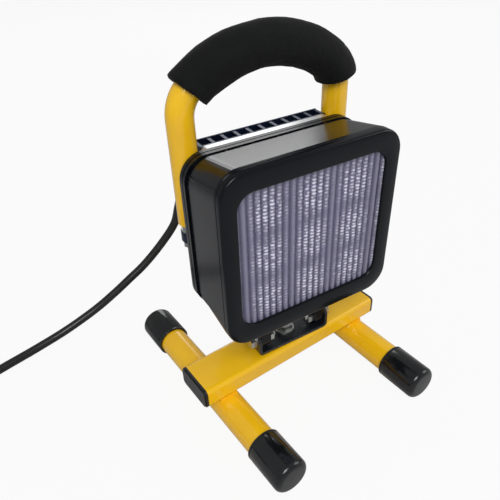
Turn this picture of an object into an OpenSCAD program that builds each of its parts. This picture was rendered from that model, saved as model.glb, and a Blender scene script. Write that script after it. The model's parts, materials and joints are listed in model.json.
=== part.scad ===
// LED work light on an H-shaped tube stand, with a tilting head, a carrying handle and a mains lead.
// Millimetres. +Z is up, the lens faces -Y, and the origin is on the floor under the middle of the legs.

/* [Stand] */
// Length over the caps of each round leg
leg_len = 210; // [180:2:260]
// Outside diameter of the leg tubes
leg_d = 25; // [22:0.5:28]
// Wall of the leg tubes
leg_wall = 1.8; // [1.2:0.1:2.5]
// Distance between the axes of the two legs
leg_span = 140; // [120:2:170]
// Length of each leg cap
cap_len = 36; // [28:1:44]
// Side wall of the leg caps
cap_wall = 2; // [1.5:0.1:3]
// End wall of the leg caps
cap_end = 3; // [2:0.5:5]
// How far the crossbar sits in front of the middle of the legs
crossbar_ahead = 7; // [0:1:15]
// Length of the crossbar without its end plugs
crossbar_len = 178; // [170:2:220]
// Width of the crossbar, front to back
crossbar_w = 36; // [30:1:44]
// Height of the crossbar
crossbar_h = 18; // [15:0.5:25]
// Wall of the crossbar
crossbar_wall = 2; // [1.5:0.1:3]
// Outside corner radius of the crossbar
crossbar_r = 4; // [3:0.5:5]
// Visible thickness of the end plugs
plug_head = 3; // [2:0.5:5]
// Depth of the end plugs inside the crossbar
plug_depth = 12; // [8:1:20]

/* [Bracket] */
// Turn of the bracket and head on the crossbar, towards the left
head_turn = 5; // [0:1:10]
// Width of the bracket over its ears
bracket_w = 68; // [60:1:80]
// Depth of the bracket, front to back
bracket_d = 24; // [20:1:28]
// Thickness of the bracket plate
bracket_t = 2.5; // [2:0.1:3.5]
// Height of the tilt axis above the crossbar
pivot_rise = 12; // [11:0.5:16]
// How far the tilt axis sits in front of the swivel bolt
pivot_ahead = 7; // [4:0.5:9]
// Diameter of the swivel bolt
swivel_bolt_d = 8; // [6:1:8]
// Diameter of the tilt bolts
tilt_bolt_d = 6; // [5:0.5:6]
// Thickness of the head's tilt lugs
lug_t = 9; // [6:0.5:10]

/* [Head] */
// Width of the head's front face
head_w = 142; // [132:1:160]
// Height of the head's front face
head_h = 136; // [126:1:150]
// Height of the middle of the head above the floor
head_z = 160; // [156:1:180]
// Width of the housing at its back
back_w = 141; // [132:1:158]
// Height of the housing at its back
back_h = 120; // [112:1:134]
// How far the front face sits in front of the swivel bolt
front_ahead = 38; // [34:1:44]
// Depth of the front bezel
bezel_t = 8; // [6:0.5:10]
// Depth of the housing behind the bezel
housing_d = 42.5; // [38:0.5:50]
// Wall of the housing
housing_wall = 3; // [2.5:0.1:4]
// Corner radius of the head
head_r = 18; // [14:1:24]
// Width of the lens window
window_w = 118; // [106:1:122]
// Height of the lens window
window_h = 106; // [96:1:110]
// Corner radius of the lens window
window_r = 12; // [8:1:16]
// Thickness of the lens
lens_t = 4; // [3:0.5:5]
// Number of light emitters along each side of the array
cells = 3; // [2:1:4]
// Thickness of the rear plate
plate_t = 3.5; // [3:0.5:5]
// Thickness of the gasket between housing and rear plate
gasket_t = 1; // [0.5:0.5:2]

/* [Heat sink] */
// Width of the finned heat sink
sink_w = 104; // [90:1:106]
// Height of the finned heat sink
sink_h = 122; // [110:1:126]
// Thickness of the heat spreader between the rear plate and the heat sink
spreader_t = 8.5; // [6:0.5:10]
// Thickness of the heat sink's base
sink_base = 2; // [1.5:0.5:4]
// Depth of the channels between the fins
fin_h = 7; // [5:0.5:14]
// Thickness of the wall that closes the channels at the back
sink_back = 1.5; // [1:0.5:3]
// Thickness of each fin
fin_t = 2.4; // [1.8:0.1:3]
// Number of fins
fins = 11; // [8:1:13]

/* [Driver box] */
// Width of the driver box
driver_w = 72; // [64:1:84]
// Height of the driver box
driver_h = 60; // [54:1:70]
// Depth of the driver box
driver_d = 22; // [20:1:28]
// Height of the middle of the driver box above the floor
driver_z = 140; // [132:1:160]
// Wall of the driver box
driver_wall = 2.5; // [2:0.1:3.5]
// Thickness of the driver box cover
cover_t = 2.5; // [2:0.5:4]
// Width of the rocker switch
rocker_w = 13; // [11:0.5:15]
// Height of the rocker switch
rocker_h = 19; // [17:0.5:22]

/* [Handle] */
// Outside diameter of the handle tube
handle_d = 19; // [16:0.5:20]
// Wall of the handle tube
handle_wall = 1.5; // [1.2:0.1:2]
// Distance between the axes of the handle's two legs
handle_span = 125.6; // [124:0.2:140]
// Gap between the rear plate and the handle's legs
handle_gap = 0.6; // [0.3:0.1:3]
// Height of the top of the handle's straight legs
handle_straight_z = 241; // [236:1:260]
// Bend radius of the handle's corners
handle_corner_r = 25; // [22:1:32]
// Bend radius of the handle's crown
handle_crown_r = 90; // [80:1:120]
// Outside diameter of the foam grip
grip_d = 30; // [26:0.5:36]
// Where the grip ends on the left bend, as an angle from the right
grip_left_a = 136; // [130:1:180]
// Where the grip ends on the right bend, as an angle from the right
grip_right_a = 12; // [0:1:40]
// Height of the top of the handle's lugs above the floor
handle_lug_z = 158; // [150:1:166]

/* [Mains lead] */
// Diameter of the lead
cord_d = 8; // [6:0.5:9]
// Middle diameter of the coiled turns
coil_d = 84; // [80:1:96]
// Number of turns side by side in the coil
coil_wide = 2; // [2:1:3]
// Number of layers in the coil
coil_high = 2; // [2:1:3]

/* [Hidden] */
$fn = 48;

// Clearances
seat = 0.05;
running = 0.05;
gap = 0.3;
hole_play = 0.2;

// Stand
cap_d = leg_d + 2 * (cap_wall + seat);
leg_z = cap_d / 2;
tube_len = leg_len - 2 * cap_end;
crossbar_z = leg_z + leg_d / 2;
crossbar_top = crossbar_z + crossbar_h;
crossbar_y = -crossbar_ahead;
cap_round = 2.5;
weld_w = 5.5;
weld_in = 2.5;

// Swivel
washer_t = 0.8;
swivel_washer_d = 22;
bracket_z = crossbar_top + washer_t + 2 * seat;
bolt_head_k = 0.65;
nut_k = 0.8;
hex_k = 1.65;

// Tilt
pivot_y = -pivot_ahead;
pivot_z = crossbar_top + pivot_rise;
ear_r = 9;
lug_r = 7.5;
lug_out = bracket_w / 2 - bracket_t - gap;
tilt_washer_d = 12.5;
tilt_washer_t = 1;
inner_bend = 1;

// Head, front to back
front_y = -front_ahead;
housing_y = front_y + bezel_t;
gasket_y = housing_y + housing_d;
plate_y = gasket_y + gasket_t;
sink_y = plate_y + plate_t;
fin_base_y = sink_y + spreader_t;
fin_y = fin_base_y + sink_base;
fin_back_y = fin_y + fin_h;
driver_y = fin_back_y + sink_back;
lens_gasket_t = 1.5;
lens_lap = 4;
lens_play = 0.4;
lens_lip = 2.2;
lens_y = front_y + lens_lip;
rim_t = 3;
rim_rise = 1.5;
gussets = 5;
gusset = [1.6, 8, 2.4];
board_t = 1.6;
board_y = plate_y - board_t - seat;
reflector_y = lens_y + lens_t + lens_gasket_t + 2 * seat;
reflector_d = board_y - reflector_y - seat;
flange_t = 1.5;
cell_pitch = min(window_w, window_h) / cells;
cup_wall = 1.2;
emitter = [8, 1.8, 8];
cup_mouth = cell_pitch / 2 - cup_wall + 0.3;
cup_throat = emitter[0] / sqrt(2) + 0.4;
screw_d = 3;
boss_d = 8;
board_screw_at = cells * cell_pitch / 2 - 5;
sink_screw_x = sink_w / 2 - 9;
sink_screw_z = back_h / 2 - 9;
wire_hole = 5;
wire_x = (sink_w - fin_t) / (fins - 1) / 2;
wire_z = driver_z + 12;
boss_x = back_w / 2 - housing_wall - 7;
boss_z = back_h / 2 - housing_wall - 7;

// Handle
handle_y = sink_y + handle_d / 2 + handle_gap;
handle_x = handle_span / 2;
insert_bolt_d = 8;
lock_nut_h = 5;
handle_washer_t = 1.6;
handle_bottom = handle_lug_z + lock_nut_h + handle_washer_t;
handle_lug_w = 17;
handle_lug_t = 8;
lock_washer_d = 16;
handle_turn_a = asin((handle_x - handle_corner_r) / (handle_crown_r - handle_corner_r));
crown_z = handle_straight_z - (handle_crown_r - handle_corner_r) * cos(handle_turn_a);
insert_h = 20;
corner_steps = 6;
crown_steps = 10;
handle_sides = 32;

// Driver box
cover_gasket_t = 0.8;
cover_gasket_y = driver_y + driver_d;
cover_y = cover_gasket_y + cover_gasket_t;
cover_back = cover_y + cover_t;
post_d = 6;
post_x = driver_w / 2 - driver_wall - 2.6;
post_z = driver_h / 2 - driver_wall - 2.6;
pcb_t = 1.6;
pcb_y = driver_y + driver_wall + 3;
pcb_w = driver_w - 2 * driver_wall - 2 * post_d - 2;
pcb_h = driver_h - 2 * driver_wall - 2;
board_post_x = pcb_w / 2 - 4;
board_post_z = pcb_h / 2 - 4;

// Switch
switch_x = 18;
switch_z = driver_z;
frame_wall = 1.2;
frame_w = rocker_w + 0.4 + 2 * frame_wall;
frame_h = rocker_h + 0.6 + 2 * frame_wall;
bezel_lip = 2;
rocker_r = rocker_h / 2;
rocker_sink = 4;
rocker_face = 5.5;
rocker_swing = 12;
pin = 2;

// Lead entry
gland_x = -10;
gland_z = driver_z + 12;
gland_d = 16;
gland_hex = 19;
gland_body_h = 5;
gland_nut_h = 9;
gland_tail = 6;
relief_len = 30;
relief_in = gland_nut_h;
relief_d = 12.5;
relief_y = cover_back + gland_body_h;

// Lead: it starts inside the strain relief, and its way to the coil is picked by hand
lead_in = 6;
exit_y = relief_y + relief_len - lead_in;
lead_start = [gland_x * cos(head_turn) + exit_y * sin(head_turn),
              exit_y * cos(head_turn) - gland_x * sin(head_turn) + crossbar_y, gland_z];
lead_ahead = 7 * [sin(head_turn), cos(head_turn), 0];
coil_at = [-284, 96];
coil_w = coil_wide * cord_d;
coil_h = coil_high * cord_d;
coil_out = (coil_d + coil_w) / 2;
lead_end = [coil_at[0] + sqrt(coil_out * coil_out - pow((coil_d - cord_d) / 2, 2)) + 0.5,
            coil_at[1] + coil_d / 2, cord_d / 2];
lead_route = [
    [-2, 121, 148.5], [-6, 131.5, 139], [-10, 136.5, 124], [-15, 138, 107], [-21, 139.5, 89.5],
    [-37, 141.5, 71.5], [-57, 143.5, 54.5], [-75, 145.5, 43], [-93, 148, 31.5], [-115, 151, 19.5],
    [-145, 153, 9], [-175, 151.5, 4.6], [-203, 147.5, 4], [-228, 142.5, 4]];
lead_sides = 10;
lead_step = 4;
tie_w = 6;
tie_t = 1.2;

// Plug
plug_w = 36;
plug_t = 17;
plug_len = 30;
plug_taper = 14;
plug_tail = 8;
plug_tail_d = 12;
plug_turn = -90;
plug_at = [coil_at[0] - 30, coil_at[1] - 6, coil_h + plug_t / 2];
pin_d = 4.8;
pin_len = 19;
pin_gap = 19;

// ---- Helpers ----

// Puts its children on the swivel axis, turned as the head is
module on_head() {
    translate([0, crossbar_y, 0]) rotate([0, 0, -head_turn]) children();
}

// Rounded rectangle, centred, with true arcs
module round_rect(w, h, r) {
    square([w - 2 * r, h], center = true);
    square([w, h - 2 * r], center = true);
    for (x = [-1, 1], y = [-1, 1])
        translate([x * (w / 2 - r), y * (h / 2 - r)]) circle(r);
}

// Slab whose outline lies in the XZ plane, from y to y + t, its middle at height z
module slab(w, h, r, y, t, z = head_z) {
    translate([0, y + t, z]) rotate([90, 0, 0]) linear_extrude(t) round_rect(w, h, r);
}

// Cylinder along Y
module rod_y(d, y, len, x = 0, z = 0) {
    translate([x, y + len, z]) rotate([90, 0, 0]) cylinder(h = len, d = d);
}

// Cylinder along X
module rod_x(d, x, len, y = 0, z = 0) {
    translate([x, y, z]) rotate([0, 90, 0]) cylinder(h = len, d = d);
}

// Hexagon prism along Z
module hex(af, h) {
    cylinder(h = h, d = af / cos(30), $fn = 6);
}

// Hexagon bolt along Z, its head below z = 0 and its shank above
module bolt(d, len) {
    translate([0, 0, -bolt_head_k * d]) hex(hex_k * d, bolt_head_k * d);
    cylinder(h = len, d = d);
}

// Hexagon nut along Z
module nut(d, h) {
    difference() {
        hex(hex_k * d, h);
        translate([0, 0, -1]) cylinder(h = h + 2, d = d + 2 * seat);
    }
}

// Flat washer along Z
module washer(d, hole, t) {
    difference() {
        cylinder(h = t, d = d);
        translate([0, 0, -1]) cylinder(h = t + 2, d = hole);
    }
}

// Pan-headed screw along Y: the head faces +Y when back is true
module screw_y(x, z, y, len, back = true) {
    head_h = 2;
    head_d = 6;
    rod_y(screw_d, back ? y - len : y, len, x, z);
    rod_y(head_d, back ? y : y - head_h, head_h, x, z);
}

// ---- Stand ----

module crossbar() {
    color("#F5BE1A")
    difference() {
        translate([-crossbar_len / 2, crossbar_y, crossbar_z + crossbar_h / 2])
        rotate([90, 0, 90]) linear_extrude(crossbar_len) difference() {
            round_rect(crossbar_w, crossbar_h, crossbar_r);
            round_rect(crossbar_w - 2 * crossbar_wall, crossbar_h - 2 * crossbar_wall,
                       crossbar_r - crossbar_wall);
        }
        translate([0, crossbar_y, crossbar_z - 1])
        cylinder(h = crossbar_h + 2, d = swivel_bolt_d + 2 * hole_play);
    }
}

// Plug for one end of the crossbar: side is -1 or 1
module end_plug(side) {
    edge = 1;
    inside_w = crossbar_w - 2 * crossbar_wall - 2 * seat;
    inside_h = crossbar_h - 2 * crossbar_wall - 2 * seat;
    color("#15171A")
    translate([side * crossbar_len / 2, crossbar_y, crossbar_z + crossbar_h / 2])
    rotate([90, 0, 90 * side]) {
        linear_extrude(plug_head - edge) round_rect(crossbar_w, crossbar_h, crossbar_r);
        translate([0, 0, plug_head - edge])
        linear_extrude(edge) round_rect(crossbar_w - 2 * edge, crossbar_h - 2 * edge, crossbar_r - edge);
        translate([0, 0, -plug_depth]) linear_extrude(plug_depth)
        round_rect(inside_w, inside_h, crossbar_r - crossbar_wall);
    }
}

module leg(side) {
    color("#F5BE1A")
    difference() {
        rod_y(leg_d, -tube_len / 2, tube_len, side * leg_span / 2, leg_z);
        rod_y(leg_d - 2 * leg_wall, -tube_len / 2 - 1, tube_len + 2, side * leg_span / 2, leg_z);
    }
}

// Moulded cap: side is -1 or 1 along X, way is -1 at the front and 1 at the back
module leg_cap(side, way) {
    r = cap_d / 2;
    bore = leg_d / 2 + seat;
    color("#131518")
    translate([side * leg_span / 2, way * (leg_len / 2 - cap_len), leg_z])
    rotate([-90 * way, 0, 0])
    rotate_extrude() {
        difference() {
            union() {
                square([r, cap_len - cap_round]);
                square([r - cap_round, cap_len]);
                translate([r - cap_round, cap_len - cap_round]) circle(cap_round);
            }
            translate([0, -1]) square([bore, cap_len - cap_end + 1]);
            translate([-r, -1]) square([r, cap_len + 2]);
        }
    }
}

// Fillets of weld metal between the crossbar's underside and the legs
module leg_welds() {
    drop = 3.5;
    color("#E8B116")
    for (side = [-1, 1], edge = [-1, 1])
        translate([side * leg_span / 2, crossbar_y, 0])
        difference() {
            translate([edge > 0 ? weld_in : -weld_in - weld_w, -crossbar_w / 2 + 1, crossbar_z - drop])
            cube([weld_w, crossbar_w - 2, drop]);
            rod_y(leg_d + 2 * seat, -crossbar_w, 2 * crossbar_w, 0, leg_z);
        }
}

// ---- Swivel ----

module swivel_bolt() {
    color("#C9CCD0")
    translate([0, crossbar_y, bracket_z + bracket_t + seat + washer_t])
    rotate([180, 0, 0])
    bolt(swivel_bolt_d, crossbar_h + bracket_t + 4 * washer_t + nut_k * swivel_bolt_d + 2);
}

module swivel_washers() {
    hole = swivel_bolt_d + 2 * hole_play;
    color("#B9BDC1")
    translate([0, crossbar_y, 0]) {
        translate([0, 0, crossbar_top + seat]) washer(swivel_washer_d, hole, washer_t);
        translate([0, 0, bracket_z + bracket_t + seat]) washer(swivel_washer_d - 5, hole, washer_t);
        translate([0, 0, crossbar_z - washer_t]) washer(swivel_washer_d - 5, hole, washer_t);
    }
}

module swivel_nut() {
    color("#C9CCD0")
    translate([0, crossbar_y, crossbar_z - washer_t - nut_k * swivel_bolt_d])
    nut(swivel_bolt_d, nut_k * swivel_bolt_d);
}

// ---- Bracket ----

module tilt_bracket() {
    base_front = pivot_y - ear_r;
    base_back = bracket_d / 2;
    top = pivot_z + ear_r - bracket_z;
    color("#1A1D21")
    on_head()
    difference() {
        intersection() {
            // U section, seen from the front
            translate([0, base_back, bracket_z + top])
            rotate([90, 0, 0]) linear_extrude(base_back - base_front) difference() {
                round_rect(bracket_w, 2 * top, bracket_t + inner_bend);
                translate([0, bracket_t]) round_rect(bracket_w - 2 * bracket_t, 2 * top, inner_bend);
                translate([-bracket_w, 0]) square(2 * bracket_w);
            }
            // Outline of the ears, seen from the side
            translate([-bracket_w, 0, 0])
            rotate([90, 0, 90]) linear_extrude(2 * bracket_w) hull() {
                translate([pivot_y, pivot_z]) circle(ear_r);
                translate([base_front, bracket_z]) square([base_back - base_front, bracket_t]);
            }
        }
        translate([0, 0, bracket_z - 1]) cylinder(h = bracket_t + 2, d = swivel_bolt_d + 2 * running);
        rod_x(tilt_bolt_d + 2 * running, -bracket_w, 2 * bracket_w, pivot_y, pivot_z);
    }
}

module tilt_bolts() {
    inside = lug_out - lug_t;
    reach = bracket_w / 2 + tilt_washer_t + running;
    color("#D5D8DB")
    on_head()
    for (side = [-1, 1])
        translate([side * reach, pivot_y, pivot_z]) rotate([0, -90 * side, 0])
        bolt(tilt_bolt_d, reach - inside + nut_k * tilt_bolt_d + 2);
}

module tilt_washers() {
    color("#C4C8CC")
    on_head()
    for (side = [-1, 1])
        translate([side * (bracket_w / 2 + running), pivot_y, pivot_z]) rotate([0, 90 * side, 0])
        washer(tilt_washer_d, tilt_bolt_d + 2 * seat, tilt_washer_t);
}

module tilt_nuts() {
    inside = lug_out - lug_t;
    color("#D5D8DB")
    on_head()
    for (side = [-1, 1])
        translate([side * inside, pivot_y, pivot_z]) rotate([0, -90 * side, 0])
        nut(tilt_bolt_d, nut_k * tilt_bolt_d);
}

// ---- Head, front to back ----

// Solid that tapers from the front outline to the back outline, drawn in by inset all round
module housing_form(inset, y0, y1) {
    t = 0.01;
    hull() {
        slab(head_w - 2 * inset, head_h - 2 * inset, head_r - inset, y0, t);
        slab(back_w - 2 * inset, back_h - 2 * inset, head_r - inset, y1 - t, t);
    }
}

module tilt_lug(side) {
    x0 = side > 0 ? lug_out - lug_t : -lug_out;
    lug_top = head_z - back_h / 2 + housing_wall;
    rod_x(2 * lug_r, x0, lug_t, pivot_y, pivot_z);
    translate([x0, pivot_y - lug_r, pivot_z]) cube([lug_t, 2 * lug_r, lug_top - pivot_z]);
}

module front_housing() {
    back = gasket_y;
    color("#17191C")
    on_head()
    difference() {
        union() {
            difference() {
                union() {
                    housing_form(0, housing_y, back);
                    slab(back_w + 2 * rim_rise, back_h + 2 * rim_rise, head_r, back - rim_t, rim_t);
                    for (i = [0 : gussets - 1])
                        translate([(i - (gussets - 1) / 2) * back_w / (gussets + 2) - gusset[0] / 2,
                                   back - rim_t - gusset[1], head_z + back_h / 2 - 1])
                        rotate([90, 0, 90]) linear_extrude(gusset[0])
                        polygon([[0, 0], [gusset[1], 0], [gusset[1], 1 + rim_rise], [0, 1]]);
                    for (side = [-1, 1]) tilt_lug(side);
                }
                housing_form(housing_wall, housing_y - 0.01, back + 0.01);
            }
            // Bosses for the rear plate's screws, joined to the side walls
            for (x = [-1, 1], z = [-1, 1]) {
                rod_y(boss_d, housing_y + 6, back - housing_y - 6, x * boss_x, head_z + z * boss_z);
                translate([x > 0 ? boss_x : -boss_x - 9, housing_y + 6, head_z + z * boss_z - 1.5])
                cube([9, back - housing_y - 6, 3]);
            }
        }
        for (x = [-1, 1], z = [-1, 1])
            rod_y(screw_d + 2 * seat, back - 12, 13, x * boss_x, head_z + z * boss_z);
        for (side = [-1, 1])
            rod_x(tilt_bolt_d + 2 * seat, side > 0 ? lug_out - lug_t - 1 : -lug_out - 1, lug_t + 2,
                  pivot_y, pivot_z);
    }
}

module front_bezel() {
    edge = 1.5;
    lens_w = window_w + 2 * lens_lap;
    lens_h = window_h + 2 * lens_lap;
    color("#17191C")
    on_head()
    difference() {
        union() {
            slab(head_w, head_h, head_r, front_y + edge, bezel_t - edge);
            slab(head_w - 2 * edge, head_h - 2 * edge, head_r - edge, front_y, edge);
        }
        slab(window_w, window_h, window_r, front_y - 1, bezel_t + 2);
        slab(lens_w + lens_play, lens_h + lens_play, window_r + lens_lap, lens_y, bezel_t);
    }
}

module lens() {
    color("#C9C4E8", 0.5)
    on_head()
    slab(window_w + 2 * lens_lap, window_h + 2 * lens_lap, window_r + lens_lap - 0.2, lens_y + seat, lens_t);
}

module lens_gasket() {
    color("#0E0F11")
    on_head()
    difference() {
        slab(window_w + 2 * lens_lap, window_h + 2 * lens_lap, window_r + lens_lap - 0.2,
             lens_y + seat + lens_t, lens_gasket_t);
        slab(window_w, window_h, window_r, lens_y, lens_t + lens_gasket_t + 2);
    }
}

// Puts its children on the middle of every cell of the light array
module at_cells() {
    for (i = [0 : cells - 1], j = [0 : cells - 1])
        translate([(i - (cells - 1) / 2) * cell_pitch, 0, head_z + (j - (cells - 1) / 2) * cell_pitch])
        children();
}

// Cones from the board up to the front flange, with extra added to their radius
module cups(extra, over) {
    at_cells()
    translate([0, reflector_y + reflector_d + over, 0]) rotate([90, 0, 0])
    cylinder(h = reflector_d + 2 * over, r1 = cup_throat + extra, r2 = cup_mouth + extra);
}

// Thin cone-shaped cups joined by a flange that presses the gasket on the lens
module reflector() {
    flange_r = window_r + lens_lap - 0.4;
    color("#D9DBE4")
    on_head()
    difference() {
        union() {
            cups(cup_wall, 0);
            slab(window_w + 2 * lens_lap - 0.4, window_h + 2 * lens_lap - 0.4, flange_r, reflector_y, flange_t);
        }
        cups(0, 0.01);
    }
}

module led_board() {
    w = cells * cell_pitch;
    color("#E9ECEF")
    on_head()
    difference() {
        slab(w, w, 3, board_y, board_t);
        for (x = [-1, 1], z = [-1, 1])
            rod_y(screw_d + 2 * seat, board_y - 1, board_t + 2, x * board_screw_at, head_z + z * board_screw_at);
        rod_y(wire_hole, board_y - 1, board_t + 2, wire_x, wire_z);
    }
}

module led_emitters() {
    color("#F2D45A")
    on_head()
    at_cells()
    translate([0, board_y, 0]) rotate([90, 0, 0]) {
        translate([0, 0, emitter[1] / 2]) cube([emitter[0], emitter[2], emitter[1]], center = true);
        translate([0, 0, emitter[1]]) cylinder(h = 1.2, d1 = 6, d2 = 4);
    }
}

module board_screws() {
    color("#B9BDC1")
    on_head()
    for (x = [-1, 1], z = [-1, 1])
        screw_y(x * board_screw_at, head_z + z * board_screw_at, board_y, board_t + plate_t, false);
}

module led_wires() {
    wire_d = 1.8;
    color("#B5342B")
    on_head()
    for (side = [-1, 1])
        rod_y(wire_d, board_y + board_t - 1, driver_y + driver_wall + 3 - board_y - board_t + 1,
              wire_x + side * 1.2, wire_z);
}

// Countersunk screw along Y: its flush head is at y, and its shank runs len towards way
module flush_screw(x, z, y, len, way, play = 0) {
    cone_h = 1.8;
    translate([x, y, z]) rotate([-90 * way, 0, 0]) {
        translate([0, 0, -play]) cylinder(h = cone_h + play, d1 = 2 * screw_d + 2 * play, d2 = screw_d + 2 * play);
        cylinder(h = len + play, d = screw_d + 2 * play);
    }
}

module rear_plate() {
    color("#1A1D22")
    on_head()
    difference() {
        slab(back_w + 2 * rim_rise, back_h + 2 * rim_rise, head_r, plate_y, plate_t);
        for (x = [-1, 1], z = [-1, 1]) {
            flush_screw(x * boss_x, head_z + z * boss_z, plate_y + plate_t, plate_t + 1, -1, seat);
            flush_screw(x * sink_screw_x, head_z + z * sink_screw_z, plate_y, plate_t + 1, 1, seat);
        }
        for (x = [-1, 1], z = [-1, 1])
            rod_y(screw_d + 2 * seat, plate_y - 1, plate_t + 2, x * board_screw_at,
                  head_z + z * board_screw_at);
        rod_y(wire_hole, plate_y - 1, plate_t + 2, wire_x, wire_z);
    }
}

module plate_gasket() {
    inset = 5;
    color("#0E0F11")
    on_head()
    difference() {
        slab(back_w - 0.4, back_h - 0.4, head_r - 0.2, gasket_y, gasket_t);
        slab(back_w - 2 * inset, back_h - 2 * inset, head_r - inset, gasket_y - 1, gasket_t + 2);
    }
}

module plate_screws() {
    color("#B9BDC1")
    on_head()
    for (x = [-1, 1], z = [-1, 1])
        flush_screw(x * boss_x, head_z + z * boss_z, plate_y + plate_t, plate_t + gasket_t + 9, -1);
}

// Bare block that carries heat from the rear plate to the heat sink
module heat_spreader() {
    color("#D3D6D8")
    on_head()
    difference() {
        slab(sink_w, sink_h, 3, sink_y, spreader_t);
        for (x = [-1, 1], z = [-1, 1]) {
            rod_y(screw_d + 2 * seat, sink_y - 1, 5, x * sink_screw_x, head_z + z * sink_screw_z);
            rod_y(screw_d + 2 * seat, sink_y - 1, 3.5, x * board_screw_at, head_z + z * board_screw_at);
        }
        rod_y(wire_hole, sink_y - 1, spreader_t + 2, wire_x, wire_z);
    }
}

// Heat sink with upright channels, and a lug at each side that the handle stands on
module heat_sink() {
    pitch = (sink_w - fin_t) / (fins - 1);
    color("#1C2230")
    on_head()
    difference() {
        union() {
            slab(sink_w, sink_h, 3, fin_base_y, sink_base);
            for (i = [0 : fins - 1])
                translate([-sink_w / 2 + i * pitch, fin_y - 0.5, head_z - sink_h / 2 + 3])
                cube([fin_t, fin_h + 1, sink_h - 6]);
            slab(sink_w, sink_h, 3, fin_back_y, sink_back);
            for (side = [-1, 1]) handle_lug(side);
        }
        for (side = [-1, 1])
            translate([side * handle_x, handle_y, handle_lug_z - handle_lug_t - 1])
            cylinder(h = handle_lug_t + 2, d = insert_bolt_d + 2 * hole_play);
        rod_y(wire_hole, fin_base_y - 1, driver_y - fin_base_y + 2, wire_x, wire_z);
    }
}

// Lug beside the heat sink, clear of the heat spreader: side is -1 or 1
module handle_lug(side) {
    difference() {
        union() {
            translate([side > 0 ? sink_w / 2 - 1 : -handle_x, handle_y - handle_lug_w / 2,
                       handle_lug_z - handle_lug_t])
            cube([handle_x - sink_w / 2 + 1, handle_lug_w, handle_lug_t]);
            translate([side * handle_x, handle_y, handle_lug_z - handle_lug_t])
            cylinder(h = handle_lug_t, d = handle_lug_w);
        }
        slab(sink_w + 2 * seat, sink_h, 3, sink_y - 1, spreader_t + 1);
    }
}

module sink_screws() {
    color("#B9BDC1")
    on_head()
    for (x = [-1, 1], z = [-1, 1])
        flush_screw(x * sink_screw_x, head_z + z * sink_screw_z, plate_y, plate_t + 3.5, 1);
}

// ---- Driver box ----

module driver_box() {
    color("#1A1D22")
    on_head()
    difference() {
        union() {
            difference() {
                slab(driver_w, driver_h, 5, driver_y, driver_d, driver_z);
                slab(driver_w - 2 * driver_wall, driver_h - 2 * driver_wall, 2.5,
                     driver_y + driver_wall, driver_d, driver_z);
            }
            for (x = [-1, 1], z = [-1, 1]) {
                translate([x * post_x - post_d / 2, driver_y + 1, driver_z + z * post_z - post_d / 2])
                cube([post_d, driver_d - 1, post_d]);
                rod_y(5, driver_y + driver_wall - 0.5, 3.5, x * board_post_x, driver_z + z * board_post_z);
            }
        }
        for (x = [-1, 1], z = [-1, 1])
            rod_y(screw_d + 2 * seat, cover_gasket_y - 10, 11, x * post_x, driver_z + z * post_z);
        rod_y(wire_hole, driver_y - 1, driver_wall + 2, wire_x, wire_z);
    }
}

module driver_board() {
    color("#2E6B3A")
    on_head()
    difference() {
        slab(pcb_w, pcb_h, 1, pcb_y, pcb_t, driver_z);
        rod_y(wire_hole, pcb_y - 1, pcb_t + 2, wire_x, wire_z);
    }
}

// Transformer, capacitors and terminal block on the driver board
module driver_parts() {
    y = pcb_y + pcb_t;
    color("#3A3D42")
    on_head() {
        translate([-24, y, driver_z - 3]) cube([16, 8, 14]);
        rod_y(8, y, 7, -2, driver_z + 14);
        rod_y(6, y, 8, -14, driver_z - 14);
        translate([-4, y, driver_z - 18]) cube([12, 7, 8]);
    }
}

module cover_outline(extra, y, t) {
    slab(driver_w + extra, driver_h + extra, 5, y, t, driver_z);
}

module cover_gasket() {
    inset = 2 * driver_wall + 2;
    color("#0E0F11")
    on_head()
    difference() {
        cover_outline(-0.6, cover_gasket_y, cover_gasket_t);
        slab(driver_w - 2 * inset, driver_h - 2 * driver_wall, 1, cover_gasket_y - 1, cover_gasket_t + 2, driver_z);
        slab(driver_w - 2 * driver_wall, driver_h - 2 * inset, 1, cover_gasket_y - 1, cover_gasket_t + 2, driver_z);
        for (x = [-1, 1], z = [-1, 1])
            rod_y(screw_d + 2 * seat, cover_gasket_y - 1, cover_gasket_t + 2, x * post_x, driver_z + z * post_z);
    }
}

module driver_cover() {
    color("#1A1D22")
    on_head()
    difference() {
        cover_outline(0, cover_y, cover_t);
        for (x = [-1, 1], z = [-1, 1])
            rod_y(screw_d + 2 * seat, cover_y - 1, cover_t + 2, x * post_x, driver_z + z * post_z);
        rod_y(gland_d + 2 * seat, cover_y - 1, cover_t + 2, gland_x, gland_z);
        translate([switch_x, cover_y + cover_t / 2, switch_z])
        cube([frame_w + 2 * seat, cover_t + 2, frame_h + 2 * seat], center = true);
    }
}

module cover_screws() {
    color("#C9CCD0")
    on_head()
    for (x = [-1, 1], z = [-1, 1])
        screw_y(x * post_x, driver_z + z * post_z, cover_back, 11);
}

// ---- Switch ----

module switch_frame() {
    flange = 1.5;
    depth = rocker_sink + rocker_r + 1.5;
    color("#101113")
    on_head()
    translate([switch_x, cover_back, switch_z])
    difference() {
        union() {
            translate([-frame_w / 2 - bezel_lip, 0, -frame_h / 2 - bezel_lip])
            cube([frame_w + 2 * bezel_lip, flange, frame_h + 2 * bezel_lip]);
            translate([-frame_w / 2, -depth, -frame_h / 2]) cube([frame_w, depth, frame_h]);
        }
        translate([-rocker_w / 2 - 0.2, -depth + 1, -rocker_r - 0.3])
        cube([rocker_w + 0.4, depth + flange, 2 * rocker_r + 0.6]);
        rod_x(pin + 2 * running, -frame_w, 2 * frame_w, -rocker_sink, 0);
    }
}

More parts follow.
